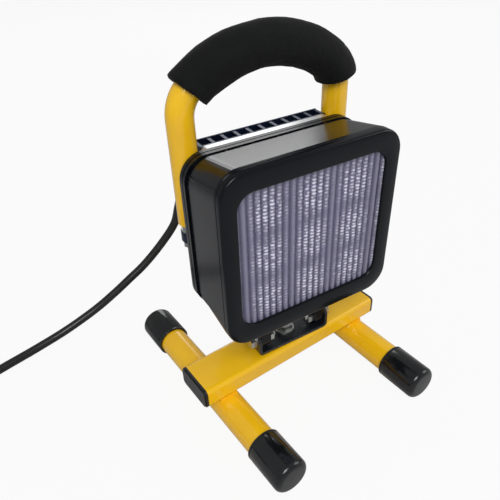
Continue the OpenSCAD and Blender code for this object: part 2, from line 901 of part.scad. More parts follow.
// Rocker at its off position: it turns on two pins in the frame's side walls
module switch_rocker() {
    color("#B3201C")
    on_head()
    translate([switch_x, cover_back - rocker_sink, switch_z])
    rotate([rocker_swing, 0, 0])
    difference() {
        union() {
            rod_x(2 * rocker_r, -rocker_w / 2, rocker_w);
            rod_x(pin, -frame_w / 2, frame_w);
        }
        // Two flats that meet in a shallow valley
        for (side = [-1, 1])
            rotate([-side * rocker_swing, 0, 0])
            translate([-rocker_w, rocker_face, side > 0 ? 0 : -2 * rocker_r])
            cube([2 * rocker_w, rocker_r, 2 * rocker_r]);
        // Open back
        translate([-rocker_w, -rocker_r - 1, -rocker_r]) cube([2 * rocker_w, rocker_r - 2, 2 * rocker_r]);
    }
}

// ---- Lead entry ----

module gland_body() {
    color("#141518")
    on_head()
    translate([gland_x, cover_back, gland_z]) rotate([-90, 0, 0])
    difference() {
        union() {
            translate([0, 0, -cover_t - gland_tail]) cylinder(h = cover_t + gland_tail, d = gland_d);
            hex(gland_hex, gland_body_h);
        }
        translate([0, 0, -cover_t - gland_tail - 1])
        cylinder(h = cover_t + gland_tail + gland_body_h + 2, d = cord_d + 2 * seat);
    }
}

module gland_nut() {
    color("#141518")
    on_head()
    translate([gland_x, cover_back + gland_body_h, gland_z]) rotate([-90, 0, 0])
    difference() {
        union() {
            hex(gland_hex, gland_nut_h - 3);
            translate([0, 0, gland_nut_h - 3]) cylinder(h = 3, d1 = gland_hex, d2 = gland_d);
        }
        translate([0, 0, -1]) cylinder(h = gland_nut_h + 2, d = relief_d + 2 * seat);
    }
}

// Tapered rubber sleeve, held by the gland nut, that the lead leaves through
module strain_relief() {
    grooves = 4;
    tip_d = cord_d + 3;
    taper_h = relief_len - relief_in;
    color("#101113")
    on_head()
    translate([gland_x, relief_y, gland_z]) rotate([-90, 0, 0])
    difference() {
        union() {
            cylinder(h = relief_in, d = relief_d);
            translate([0, 0, relief_in]) cylinder(h = taper_h, d1 = relief_d, d2 = tip_d);
        }
        translate([0, 0, -1]) cylinder(h = relief_len + 2, d = cord_d + 2 * seat);
        for (i = [0 : grooves - 1])
            translate([0, 0, relief_in + 3 + i * (taper_h - 4) / grooves])
            difference() {
                cylinder(h = 1.4, d = relief_d + 2);
                translate([0, 0, -1]) cylinder(h = 4, d = tip_d - 0.8);
            }
    }
}

// ---- Handle ----

function arc_points(c, r, from, to, steps) =
    [for (i = [0 : steps]) let (a = from + (to - from) * i / steps) c + r * [cos(a), 0, sin(a)]];

// Points of the handle's bends, from one angle on the left corner over the crown to one on the right
function handle_arcs(from, to) =
    let (corner = handle_x - handle_corner_r, a = handle_turn_a)
    concat(
        arc_points([-corner, 0, handle_straight_z], handle_corner_r, from, 90 + a, corner_steps),
        [for (i = [1 : crown_steps - 1]) let (t = 90 + a - 2 * a * i / crown_steps)
            [0, 0, crown_z] + handle_crown_r * [cos(t), 0, sin(t)]],
        arc_points([corner, 0, handle_straight_z], handle_corner_r, 90 - a, to, corner_steps));

// Round pipe along points p of the handle's centre line
module handle_pipe(p, first, last, d, bore) {
    translate([0, handle_y, 0])
    pipe(p, headings(p, first, last), d / 2, bore / 2, handle_sides, [0, 1, 0]);
}

module handle_tube() {
    color("#F5BE1A")
    on_head() handle_pipe(
        concat([[-handle_x, 0, handle_bottom]], handle_arcs(180, 0), [[handle_x, 0, handle_bottom]]),
        [0, 0, 1], [0, 0, -1], handle_d, handle_d - 2 * handle_wall);
}

// Threaded plugs pressed into the ends of the handle tube
module handle_inserts() {
    color("#C9CCD0")
    on_head()
    for (side = [-1, 1])
        translate([side * handle_x, handle_y, handle_bottom])
        difference() {
            cylinder(h = insert_h, d = handle_d - 2 * handle_wall - 2 * seat);
            translate([0, 0, -1]) cylinder(h = insert_h - 2, d = insert_bolt_d + 2 * seat);
        }
}

module handle_lock_nuts() {
    color("#E2E4E6")
    on_head()
    for (side = [-1, 1])
        translate([side * handle_x, handle_y, handle_lug_z]) {
            washer(lock_washer_d, insert_bolt_d + 2 * hole_play, handle_washer_t);
            translate([0, 0, handle_washer_t]) nut(insert_bolt_d, lock_nut_h);
        }
}

module handle_bolts() {
    color("#D5D8DB")
    on_head()
    for (side = [-1, 1])
        translate([side * handle_x, handle_y, handle_lug_z - handle_lug_t])
        bolt(insert_bolt_d, handle_lug_t + handle_washer_t + lock_nut_h + insert_h - 4);
}

// Foam sleeve over the crown, square to the tube at both ends
module grip() {
    color("#0C0C0D")
    on_head() handle_pipe(
        handle_arcs(grip_left_a, grip_right_a),
        [sin(grip_left_a), 0, -cos(grip_left_a)], [sin(grip_right_a), 0, -cos(grip_right_a)],
        grip_d, handle_d + 2 * hole_play);
}

// ---- Mains lead ----

// Point on a smooth curve through four points, at t from 0 to 1 between the middle two
function curve_point(a, b, c, d, t) =
    0.5 * (2 * b + (c - a) * t + (2 * a - 5 * b + 4 * c - d) * t * t
           + (3 * b - a - 3 * c + d) * t * t * t);

// The route with its two ends and one extra point beyond each
function lead_knots() = concat(
    [for (i = [-1 : 2]) lead_start + i * lead_ahead], lead_route,
    [lead_end, lead_end + [-20, 0, 0]]);

function lead_path(k) = [
    for (i = [1 : len(k) - 3], j = [0 : lead_step - 1])
        curve_point(k[i - 1], k[i], k[i + 1], k[i + 2], j / lead_step),
    k[len(k) - 2]];

function unit(v) = v / norm(v);

// Directions at each path point, with the first and last given
function headings(p, first, last) = [
    for (i = [0 : len(p) - 1])
        i == 0 ? unit(first) : i == len(p) - 1 ? unit(last) : unit(p[i + 1] - p[i - 1])];

function ring(c, dir, r, n, across) =
    let (side = unit(cross(dir, across)), up = cross(side, dir))
    [for (k = [0 : n - 1]) c + r * (cos(360 * k / n) * side + sin(360 * k / n) * up)];

// Four-sided faces of a skin over n points around each ring, the first point of ring 0 being at
function skin(rings, n, at) = [
    for (i = [0 : rings - 2], k = [0 : n - 1]) let (a = at + i * n, b = a + n, next = (k + 1) % n)
        [a + k, a + next, b + next, b + k]];

function backwards(faces) = [for (f = faces) [f[3], f[2], f[1], f[0]]];

// Solid bar of a round section swept along points p; across is a direction that no heading has
module sweep(p, h, r, n, across) {
    rings = len(p);
    points = [for (i = [0 : rings - 1]) each ring(p[i], h[i], r, n, across)];
    ends = [[for (k = [n - 1 : -1 : 0]) k], [for (k = [0 : n - 1]) (rings - 1) * n + k]];
    polyhedron(points, concat(skin(rings, n, 0), ends), convexity = 8);
}

// The same as sweep, with a round bore right through
module pipe(p, h, r, bore, n, across) {
    rings = len(p);
    inner = rings * n;
    points = [
        for (i = [0 : rings - 1]) each ring(p[i], h[i], r, n, across),
        for (i = [0 : rings - 1]) each ring(p[i], h[i], bore, n, across)];
    ends = [for (k = [0 : n - 1], end = [0, (rings - 1) * n]) let (next = (k + 1) % n)
        end == 0 ? [k, inner + k, inner + next, next]
                 : [end + k, end + next, end + inner + next, end + inner + k]];
    polyhedron(points, concat(skin(rings, n, 0), backwards(skin(rings, n, inner)), ends), convexity = 8);
}

// Round lead swept along its route as one closed solid
module mains_lead() {
    p = lead_path(lead_knots());
    color("#101113") sweep(p, headings(p, lead_ahead, [-1, 0, 0]), cord_d / 2, lead_sides, [0, 0, 1]);
}

// Outer shape of the coiled turns
module lead_coil() {
    color("#101113")
    translate([coil_at[0], coil_at[1], 0])
    rotate_extrude($fn = 96)
    translate([coil_d / 2, coil_h / 2]) round_rect(coil_w, coil_h, cord_d / 2);
}

// Strap that ties the turns together
module lead_tie() {
    color("#1B1C1F")
    translate([coil_at[0] + coil_d / 2, coil_at[1], coil_h / 2])
    difference() {
        rotate([90, 0, 0]) translate([0, 0, -tie_w / 2]) linear_extrude(tie_w) difference() {
            round_rect(coil_w + 2 * tie_t, coil_h + 2 * tie_t, cord_d / 2 + tie_t);
            round_rect(coil_w + 2 * hole_play, coil_h + 2 * hole_play, cord_d / 2);
        }
        translate([-coil_w, -tie_w, -coil_h / 2 - tie_t - 1]) cube([2 * coil_w, 2 * tie_w, tie_t + 1]);
    }
}

// Flat moulded plug with a tapered tail
module plug_body() {
    color("#15161A")
    translate(plug_at) rotate([0, 90, plug_turn]) {
        linear_extrude(plug_len) round_rect(plug_t, plug_w, 6);
        translate([0, 0, -plug_taper]) cylinder(h = plug_taper, d1 = plug_tail_d, d2 = plug_t - 0.5);
        translate([0, 0, -plug_taper - plug_tail]) cylinder(h = plug_tail, d = plug_tail_d);
    }
}

module plug_pins() {
    color("#D9DBDD")
    translate(plug_at) rotate([0, 90, plug_turn])
    for (side = [-1, 1])
        translate([0, side * pin_gap / 2, plug_len]) {
            cylinder(h = pin_len - pin_d / 2, d = pin_d);
            translate([0, 0, pin_len - pin_d / 2]) sphere(d = pin_d);
        }
}

crossbar();
end_plug(-1);  // end_plug_left
end_plug(1);  // end_plug_right
leg(-1);  // leg_left
leg(1);  // leg_right
leg_cap(-1, -1);  // cap_front_left
leg_cap(1, -1);  // cap_front_right
leg_cap(-1, 1);  // cap_rear_left
leg_cap(1, 1);  // cap_rear_right
leg_welds();
swivel_bolt();
swivel_washers();
swivel_nut();
tilt_bracket();
tilt_bolts();
tilt_washers();
tilt_nuts();
front_housing();
front_bezel();
lens();
lens_gasket();
reflector();
led_board();
led_emitters();
board_screws();
led_wires();
rear_plate();
plate_gasket();
plate_screws();
heat_spreader();
heat_sink();
sink_screws();
driver_box();
driver_board();
driver_parts();
driver_cover();
cover_gasket();
cover_screws();
switch_frame();
switch_rocker();
gland_body();
gland_nut();
strain_relief();
handle_tube();
handle_inserts();
handle_lock_nuts();
handle_bolts();
grip();
mains_lead();
lead_coil();
lead_tie();
plug_body();
plug_pins();
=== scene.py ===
"""Looks of an LED work light on an H-shaped tube stand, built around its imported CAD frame."""
import json
import math

import bmesh
import bpy
from bpy.props import FloatProperty, FloatVectorProperty, IntProperty, PointerProperty
from mathutils import Matrix, Vector, noise


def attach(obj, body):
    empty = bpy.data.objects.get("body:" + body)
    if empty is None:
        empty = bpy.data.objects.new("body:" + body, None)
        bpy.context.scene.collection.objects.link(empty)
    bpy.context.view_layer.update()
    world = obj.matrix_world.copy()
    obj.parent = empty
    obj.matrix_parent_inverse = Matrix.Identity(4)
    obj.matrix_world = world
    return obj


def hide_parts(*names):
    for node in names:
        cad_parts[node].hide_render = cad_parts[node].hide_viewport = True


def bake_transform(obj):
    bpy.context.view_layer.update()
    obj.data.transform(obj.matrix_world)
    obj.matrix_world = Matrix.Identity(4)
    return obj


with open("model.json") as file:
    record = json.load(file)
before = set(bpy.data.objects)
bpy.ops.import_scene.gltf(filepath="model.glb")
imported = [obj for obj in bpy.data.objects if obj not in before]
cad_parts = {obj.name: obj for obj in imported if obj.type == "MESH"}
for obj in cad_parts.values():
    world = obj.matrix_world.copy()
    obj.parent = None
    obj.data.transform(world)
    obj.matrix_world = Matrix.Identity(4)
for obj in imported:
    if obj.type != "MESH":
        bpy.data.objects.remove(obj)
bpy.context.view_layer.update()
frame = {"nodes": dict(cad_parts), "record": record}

bl_info = {
    "name": "Work Light",
    "version": (1, 0, 0),
    "blender": (4, 5, 0),
    "location": "3D Viewport > Sidebar > Work Light",
    "description": "Builds the looks of an LED work light around its CAD frame",
    "category": "Object",
}

MM = 0.001
nodes = frame["nodes"]


def linear(code, alpha=1.0):
    """Turns an sRGB hex colour such as "#F8C21E" into linear red, green, blue and alpha."""
    parts = [int(code[i:i + 2], 16) / 255 for i in (1, 3, 5)]
    return tuple(c / 12.92 if c <= 0.04045 else ((c + 0.055) / 1.055) ** 2.4 for c in parts) + (alpha,)


# ---- Frame of the head: square to the lens, turned on the swivel axis ----

HEAD_TURN = math.radians(-5)
SWIVEL = Vector((0, -0.007, 0))
ON_HEAD = Matrix.Translation(SWIVEL) @ Matrix.Rotation(HEAD_TURN, 4, "Z")
# Height of the middle of the head, and the lens window, in millimetres
HEAD_Z = 160
AT_HEAD = ON_HEAD @ Matrix.Translation((0, 0, HEAD_Z * MM))
WINDOW_W, WINDOW_H, WINDOW_R = 118, 106, 12
# Reflector bowls along each side, and the side of the square that each one fills
CELLS = 3
CELL = WINDOW_H / CELLS


# ---- Sizes and colours that a user would change ----

class WorkLightSizes(bpy.types.PropertyGroup):
    flutes: IntProperty(name="Flutes", description="Upright flutes across the lens", default=22, min=8, max=40)
    ribs: IntProperty(name="Ribs", description="Fine cross ribs up the lens", default=44, min=10, max=80)
    flute_depth: FloatProperty(
        name="Flute depth", description="How far each flute stands out of the lens",
        default=0.9 * MM, min=0.1 * MM, max=2 * MM, unit="LENGTH")
    rib_depth: FloatProperty(
        name="Rib depth", description="How far each cross rib stands out of the lens",
        default=0.35 * MM, min=0.05 * MM, max=1 * MM, unit="LENGTH")
    foam_dents: FloatProperty(
        name="Foam dents", description="Height of the soft unevenness of the foam grip",
        default=0.5 * MM, min=0, max=2 * MM, unit="LENGTH")
    camera_distance: FloatProperty(
        name="Camera distance", description="From the camera to the middle of the head",
        default=0.385, min=0.2, max=3, unit="LENGTH")


class WorkLightColours(bpy.types.PropertyGroup):
    paint: FloatVectorProperty(
        name="Paint", description="Powder coat of the stand and handle", subtype="COLOR",
        size=4, default=linear("#FFC516"), min=0, max=1)
    coat: FloatVectorProperty(
        name="Housing", description="Coat of the head's housing", subtype="COLOR",
        size=4, default=linear("#05090F"), min=0, max=1)
    tint: FloatVectorProperty(
        name="Lens tint", description="Tint of the clear lens", subtype="COLOR",
        size=4, default=linear("#B4ADEE"), min=0, max=1)
    fins: FloatVectorProperty(
        name="Fins", description="Anodised colour of the heat sink", subtype="COLOR",
        size=4, default=linear("#1B2740"), min=0, max=1)


# ---- Materials ----

def add(tree, kind, inputs=None, **settings):
    """Adds a node, sets its properties, and fills its inputs with values or links."""
    made = tree.nodes.new(kind)
    for name, value in settings.items():
        setattr(made, name, value)
    for name, value in (inputs or {}).items():
        if isinstance(value, bpy.types.NodeSocket):
            tree.links.new(value, made.inputs[name])
        else:
            made.inputs[name].default_value = value
    return made


def per(size):
    """Noise scale whose features are about this many millimetres across."""
    return 1 / (size * MM)


def shade(colour, by):
    """The same colour, lighter or darker by a factor."""
    return tuple(min(1, c * by) for c in colour[:3]) + (colour[3],)


def surface(name, colour, rough, metallic=0.0, grain=0.4, depth=0.01, tone=0.12, patch=18, spread=0.06,
            stretch=(1, 1, 1), coat=0.0, specular=0.5):
    """A solid finish. Its tone drifts over patches, and its grain makes both the bump and the gloss uneven.

    grain and patch are millimetres across, depth is the height of the grain in millimetres. The grain of
    lacquers, metals and moulded plastics is finer than 0.4 mm, and is drawn at 0.4 to 1 mm so that it shows.
    """
    made = bpy.data.materials.new(name)
    made.use_nodes = True
    tree = made.node_tree
    tree.nodes.clear()
    place = add(tree, "ShaderNodeTexCoord").outputs["Object"]
    drawn = add(tree, "ShaderNodeMapping", {"Vector": place, "Scale": stretch}).outputs["Vector"]
    patches = add(tree, "ShaderNodeTexNoise", {"Vector": place, "Scale": per(patch), "Detail": 4.0})
    fine = add(tree, "ShaderNodeTexNoise", {"Vector": drawn, "Scale": per(grain), "Detail": 3.0})
    drift = add(tree, "ShaderNodeMapRange", {
        "Value": patches.outputs["Fac"], "From Min": 0.3, "From Max": 0.7})
    tint = add(tree, "ShaderNodeMix", {
        0: drift.outputs["Result"], 6: shade(colour, 1 - tone), 7: shade(colour, 1 + tone)}, data_type="RGBA")
    gloss = add(tree, "ShaderNodeMapRange", {
        "Value": fine.outputs["Fac"], "From Min": 0.3, "From Max": 0.7,
        "To Min": max(0.02, rough - spread), "To Max": min(1, rough + spread)})
    bump = add(tree, "ShaderNodeBump", {"Height": fine.outputs["Fac"], "Strength": 1.0, "Distance": depth * MM})
    shader = add(tree, "ShaderNodeBsdfPrincipled", {
        "Base Color": tint.outputs[2], "Roughness": gloss.outputs["Result"], "Normal": bump.outputs["Normal"],
        "Metallic": metallic, "Coat Weight": coat, "Coat Roughness": 0.05, "Specular IOR Level": specular})
    add(tree, "ShaderNodeOutputMaterial", {"Surface": shader.outputs["BSDF"]})
    return made


def powder_coat(colours):
    """Polyester powder coat: full gloss with a faint orange peel, which breaks up the edges of reflections."""
    return surface("powder_coat_yellow", tuple(colours.paint), 0.22, grain=1.6, depth=0.03, tone=0.05, patch=30,
                   coat=0.35)


def housing_coat(colours):
    """Satin lacquer on die-cast aluminium: a fine dry grain under a soft shine."""
    return surface("satin_lacquer_black", tuple(colours.coat), 0.22, grain=0.5, depth=0.01, tone=0.15, patch=25,
                   specular=0.24)


def anodised(colours):
    """Extruded aluminium, dark anodised: metal with fine lines along the extrusion."""
    return surface("anodised_aluminium_dark", tuple(colours.fins), 0.38, metallic=0.55, grain=0.5, depth=0.015,
                   tone=0.25, patch=14, stretch=(1, 1, 0.04))


def finishes(colours):
    """Every material of the light, by its slot in the record."""
    return {
        "yellow_paint": powder_coat(colours),
        "housing_coat": housing_coat(colours),
        "sink_anodised": anodised(colours),
        # Moulded polypropylene: dull, slightly worn
        "end_plug_plastic": surface("moulded_polypropylene_black", linear("#191B1E"), 0.42, grain=0.5, depth=0.02),
        # Dip-moulded PVC: wet-looking gloss with soft waves from dripping
        "cap_pvc": surface("dipped_pvc_black", linear("#121416"), 0.16, grain=7, depth=0.12, tone=0.2, patch=20,
                           spread=0.03),
        # Cold-formed steel, zinc plated: bright, with a cloudy passivated tint
        "zinc_steel": surface("zinc_plated_steel", linear("#C9CBC8"), 0.3, metallic=1.0, grain=0.6, depth=0.01,
                              tone=0.1, patch=4, spread=0.1),
        # Pressed steel sheet, black stoved enamel
        "black_steel": surface("stoved_enamel_black", linear("#181B20"), 0.3, grain=1.0, depth=0.02, coat=0.2),
        # Moulded EPDM: dull and grey where it is rubbed
        "gasket_rubber": surface("epdm_rubber_black", linear("#1A1A1B"), 0.65, grain=0.4, depth=0.02, tone=0.2),
        # Vacuum metallised polycarbonate: a near mirror with ripples
        "reflector_metal": surface("metallised_polycarbonate", linear("#E6E6F2"), 0.1, metallic=1.0, grain=6,
                                   depth=0.05, tone=0.04, spread=0.04),
        # Solder mask over an aluminium core
        "pcb_white": surface("solder_mask_white", linear("#E8EAEC"), 0.4, grain=0.8, depth=0.01, tone=0.04),
        # Silicone filled with phosphor
        "led_yellow": surface("phosphor_silicone_yellow", linear("#EBCB4B"), 0.3, grain=0.5, depth=0.02, tone=0.1),
        # PVC wire insulation
        "wire_red": surface("pvc_insulation_red", linear("#A3281F"), 0.35, grain=0.5, depth=0.01),
        # Rolled aluminium sheet with a cut edge: fine lines along the rolling direction
        "plate_aluminium": surface("rolled_aluminium", linear("#D3D5D6"), 0.3, metallic=0.9, grain=0.4, depth=0.01,
                                   tone=0.06, patch=10, stretch=(0.05, 1, 1)),
        # Epoxy glass board under green mask
        "pcb_green": surface("solder_mask_green", linear("#1F5A2E"), 0.35, grain=0.8, depth=0.01),
        # Epoxy-potted components
        "component_grey": surface("epoxy_potting_grey", linear("#3B3D41"), 0.5, grain=0.6, depth=0.03),
        # Moulded polyamide
        "switch_black": surface("moulded_polyamide_black", linear("#17181A"), 0.34, grain=0.4, depth=0.015),
        # Moulded polycarbonate, polished tool
        "rocker_red": surface("moulded_polycarbonate_red", linear("#A81E18"), 0.18, grain=3, depth=0.01, tone=0.05),
        "gland_nylon": surface("gland_polyamide_black", linear("#191A1C"), 0.4, grain=0.4, depth=0.02),
        "tie_nylon": surface("cable_tie_polyamide", linear("#1D1E20"), 0.4, grain=0.5, depth=0.01),
        # Extruded rubber jacket: satin, with a faint drag along its length
        "lead_rubber": surface("rubber_jacket_black", linear("#131415"), 0.33, grain=1.2, depth=0.02, tone=0.15,
                               spread=0.08),
        "plug_rubber": surface("moulded_rubber_black", linear("#17181A"), 0.42, grain=0.6, depth=0.02),
        # Nickel-plated brass
        "pin_nickel": surface("nickel_plated_brass", linear("#D9D6CC"), 0.16, metallic=1.0, grain=0.8, depth=0.004,
                              tone=0.05),
        "foam": foam(),
        "lens_clear": lens_glass(colours),
    }


def foam():
    """Closed-cell NBR foam: a matte skin full of small open pits, with a grey bloom on its high spots."""
    made = bpy.data.materials.new("nbr_foam_black")
    made.use_nodes = True
    tree = made.node_tree
    tree.nodes.clear()
    place = add(tree, "ShaderNodeTexCoord").outputs["Object"]
    cells = add(tree, "ShaderNodeTexVoronoi", {"Vector": place, "Scale": per(0.9)})
    lumps = add(tree, "ShaderNodeTexNoise", {"Vector": place, "Scale": per(5), "Detail": 3.0})
    pits = add(tree, "ShaderNodeMapRange", {"Value": cells.outputs["Distance"], "From Min": 0.0, "From Max": 0.6})
    height = add(tree, "ShaderNodeMath", {
        0: pits.outputs["Result"], 1: lumps.outputs["Fac"]}, operation="ADD")
    bump = add(tree, "ShaderNodeBump", {
        "Height": height.outputs["Value"], "Strength": 0.7, "Distance": 0.25 * MM})
    tint = add(tree, "ShaderNodeMix", {
        0: lumps.outputs["Fac"], 6: linear("#050606"), 7: linear("#101112")}, data_type="RGBA")
    shader = add(tree, "ShaderNodeBsdfPrincipled", {
        "Base Color": tint.outputs[2], "Roughness": 0.85, "Normal": bump.outputs["Normal"],
        "Specular IOR Level": 0.2, "Sheen Weight": 0.04, "Sheen Roughness": 0.5})
    add(tree, "ShaderNodeOutputMaterial", {"Surface": shader.outputs["BSDF"]})
    return made


# Height of one row of painted highlights on the lens, drawn coarser than the ribs so that it shows
PAINTED_GLINT_ROW = 2.6


def ripple(tree, along, pitch, power=1.0):
    """Goes from 0 to 1 and back once in every pitch, in millimetres; a higher power makes the peaks narrower."""
    turn = add(tree, "ShaderNodeMath", {0: along, 1: 2 * math.pi / (pitch * MM)}, operation="MULTIPLY")
    wave = add(tree, "ShaderNodeMath", {0: turn.outputs["Value"]}, operation="COSINE")
    half = add(tree, "ShaderNodeMath", {0: wave.outputs["Value"], 1: 0.5, 2: 0.5}, operation="MULTIPLY_ADD")
    return add(tree, "ShaderNodeMath", {0: half.outputs["Value"], 1: power}, operation="POWER").outputs["Value"]


def product(tree, *values):
    """Multiplies several values or links."""
    made = values[0]
    for value in values[1:]:
        made = add(tree, "ShaderNodeMath", {0: made, 1: value}, operation="MULTIPLY").outputs["Value"]
    return made


def lens_glass(colours):
    """Pressed polycarbonate with a lavender cast, partly milky.

    Its flutes and ribs carry painted highlights in front of each bowl, and painted shade dims them between the
    bowls.
    """
    made = bpy.data.materials.new("pressed_polycarbonate_clear")
    made.use_nodes = True
    tree = made.node_tree
    tree.nodes.clear()
    place = add(tree, "ShaderNodeTexCoord").outputs["Object"]
    square = add(tree, "ShaderNodeMapping", {
        "Vector": place, "Location": (0, 0, -HEAD_Z * MM), "Rotation": (0, 0, -HEAD_TURN)}).outputs["Vector"]
    axes = add(tree, "ShaderNodeSeparateXYZ", {"Vector": square})
    across, up = axes.outputs["X"], axes.outputs["Z"]
    flow = add(tree, "ShaderNodeTexNoise", {"Vector": place, "Scale": per(3), "Detail": 2.0})
    flutes = ripple(tree, across, WINDOW_W / bpy.context.scene.work_light_sizes.flutes)
    ribs = ripple(tree, up, PAINTED_GLINT_ROW)
    # Painted light in front of each bowl, falling to painted shade between the bowls
    bowls = product(tree, ripple(tree, across, CELL, 0.7), ripple(tree, up, CELL, 0.5))
    uneven = add(tree, "ShaderNodeMapRange", {
        "Value": flow.outputs["Fac"], "From Min": 0.35, "From Max": 0.6}).outputs["Result"]
    # Painted highlights where the flutes, the ribs and the light of a bowl meet, broken up by noise
    painted_glints = product(tree, bowls, flutes, ribs, uneven)
    # A faint even milkiness, plus painted highlight bars along the flute crests
    milk_and_painted_flute_bars = add(tree, "ShaderNodeMath", {0: flutes, 1: 0.35, 2: 0.05}, operation="MULTIPLY_ADD").outputs["Value"]
    # All the painted light of the lens together with the faint milkiness, from 0 to 1
    pale = add(tree, "ShaderNodeMath", {0: painted_glints, 1: 1.6, 2: milk_and_painted_flute_bars}, operation="MULTIPLY_ADD", use_clamp=True)
    # Colour from the lavender tint darkened as painted shade up to near white as painted highlight
    tint = add(tree, "ShaderNodeMix", {
        0: pale.outputs["Value"], 6: shade(tuple(colours.tint), 0.35), 7: linear("#F0EDFF")}, data_type="RGBA")
    # Less clear where light is painted, so that the painted colour shows
    clear = add(tree, "ShaderNodeMapRange", {"Value": pale.outputs["Value"], "To Min": 0.75, "To Max": 0.1})
    gloss = add(tree, "ShaderNodeMapRange", {"Value": flow.outputs["Fac"], "To Min": 0.05, "To Max": 0.2})
    shader = add(tree, "ShaderNodeBsdfPrincipled", {
        "Base Color": tint.outputs[2], "Roughness": gloss.outputs["Result"],
        "Transmission Weight": clear.outputs["Result"], "IOR": 1.49})
    add(tree, "ShaderNodeOutputMaterial", {"Surface": shader.outputs["BSDF"]})
    return made


MATERIALS = {}


def material(slot):
    """The finish of a slot, made the first time that one is asked for."""
    if not MATERIALS:
        MATERIALS.update(finishes(bpy.context.scene.work_light_colours))
    return MATERIALS[slot]


# ---- Making pieces ----

# Points nearer than MERGE are one, points this NEAR are level, and edges sharper than SHARP stay sharp
MERGE, NEAR = 0.001 * MM, 0.01 * MM
SHARP = math.radians(35)
# Steps round each corner of a rounded rectangle
CORNER_STEPS = 8


def piece(name, bm, body, slot, replaced=(), place=None, smooth=True):
    """Turns a bmesh into a finished piece that rides on a body and stands for CAD nodes."""
    bmesh.ops.remove_doubles(bm, verts=bm.verts, dist=MERGE)
    if place is not None:
        bmesh.ops.transform(bm, matrix=place, verts=bm.verts)
    bmesh.ops.recalc_face_normals(bm, faces=bm.faces)
    for face in bm.faces:
        face.smooth = smooth
    if smooth:
        for edge in bm.edges:
            edge.smooth = len(edge.link_faces) == 2 and edge.calc_face_angle() < SHARP
    mesh = bpy.data.meshes.new(name)
    bm.to_mesh(mesh)
    bm.free()
    made = bpy.data.objects.new(name, mesh)
    bpy.context.scene.collection.objects.link(made)
    mesh.materials.append(material(slot))
    if body:
        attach(made, body)
    if replaced:
        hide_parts(*replaced)
    return made


def section(bm, width, height, radius, y):
    """Draws a rounded rectangle in the XZ plane at y, in millimetres, and returns its face."""
    made = bmesh.ops.create_grid(bm, x_segments=1, y_segments=1, size=0.5)["verts"]
    bmesh.ops.scale(bm, vec=(width * MM, height * MM, 1), verts=made)
    bmesh.ops.rotate(bm, cent=(0, 0, 0), matrix=Matrix.Rotation(math.pi / 2, 3, "X"), verts=made)
    bmesh.ops.translate(bm, vec=(0, y * MM, 0), verts=made)
    rounded = bmesh.ops.bevel(bm, geom=made, offset=radius * MM, offset_type="OFFSET", segments=CORNER_STEPS,
                              profile=0.5, affect="VERTICES", material=-1)
    corner = rounded["verts"][0]
    return max(corner.link_faces, key=lambda f: f.calc_area())


def loft(bm, sections, closed=False, capped=False):
    """Joins rounded rectangles, each given as width, height, corner radius and y, into one skin."""
    faces = [section(bm, *numbers) for numbers in sections]
    rims = [list(face.edges) for face in faces]
    kept = (faces[0], faces[-1]) if capped else ()
    bmesh.ops.delete(bm, geom=[f for f in faces if f not in kept], context="FACES_ONLY")
    pairs = list(zip(rims, rims[1:])) + ([(rims[-1], rims[0])] if closed else [])
    for near, far in pairs:
        bmesh.ops.bridge_loops(bm, edges=near + far)


def turned(bm, profile, steps=48):
    """Spins a profile of (radius, height) points about Z into a closed solid."""
    verts = [bm.verts.new((r, 0, z)) for r, z in profile]
    edges = [bm.edges.new(pair) for pair in zip(verts, verts[1:])]
    bmesh.ops.spin(bm, geom=verts + edges, cent=(0, 0, 0), axis=(0, 0, 1), angle=2 * math.pi, steps=steps,
                   use_merge=True)
    bmesh.ops.remove_doubles(bm, verts=bm.verts, dist=MERGE)


# ---- Stage ----

CAMERA_AIM = Vector((-32.08, -7, 144.29)) * MM
CAMERA_AZIMUTH = math.radians(-34.5)
CAMERA_ELEVATION = math.radians(35.29)
CAMERA_ROLL = math.radians(-2.38)
CAMERA_LENS, CAMERA_SENSOR = 37.96, 36
FLOOR_REACH = 6
# How much of the floor's own light and shadow the eye misses
FLOOR_WHITE = 0.92
SKY = 0.4
LAMPS_AIM = Vector((0, 0, 0.12))
# Name, place, side and power of each lamp; the back one shines off the top of the housing
LAMPS = [("key", (-0.7, -1.0, 1.4), 0.8, 16), ("fill", (1.2, -0.7, 0.8), 0.8, 5),
         ("back", (0.74, 1.33, 0.68), 0.62, 3.4)]


def stage_camera(distance):
    """Puts the camera at its angle, aimed at the middle of the head."""
    back = Vector((math.sin(CAMERA_AZIMUTH) * math.cos(CAMERA_ELEVATION),
                   -math.cos(CAMERA_AZIMUTH) * math.cos(CAMERA_ELEVATION), math.sin(CAMERA_ELEVATION)))
    camera = bpy.data.objects.new("camera", bpy.data.cameras.new("camera"))
    camera.data.lens = CAMERA_LENS
    camera.data.sensor_width = CAMERA_SENSOR
    camera.data.clip_start = 0.01
    turn = (-back).to_track_quat("-Z", "Y").to_matrix() @ Matrix.Rotation(CAMERA_ROLL, 3, "Z")
    camera.matrix_world = Matrix.Translation(CAMERA_AIM + back * distance) @ turn.to_4x4()
    bpy.context.scene.collection.objects.link(camera)
    bpy.context.scene.camera = camera


def seen_white(tree, lit, share):
    """Mixes a lit shader with plain white, for what the eye sees of it."""
    rays = add(tree, "ShaderNodeLightPath")
    part = add(tree, "ShaderNodeMath", {0: rays.outputs["Is Camera Ray"], 1: share}, operation="MULTIPLY")
    white = add(tree, "ShaderNodeEmission", {"Color": (1, 1, 1, 1), "Strength": 1.0})
    return add(tree, "ShaderNodeMixShader", {0: part.outputs["Value"], 1: lit, 2: white.outputs["Emission"]})


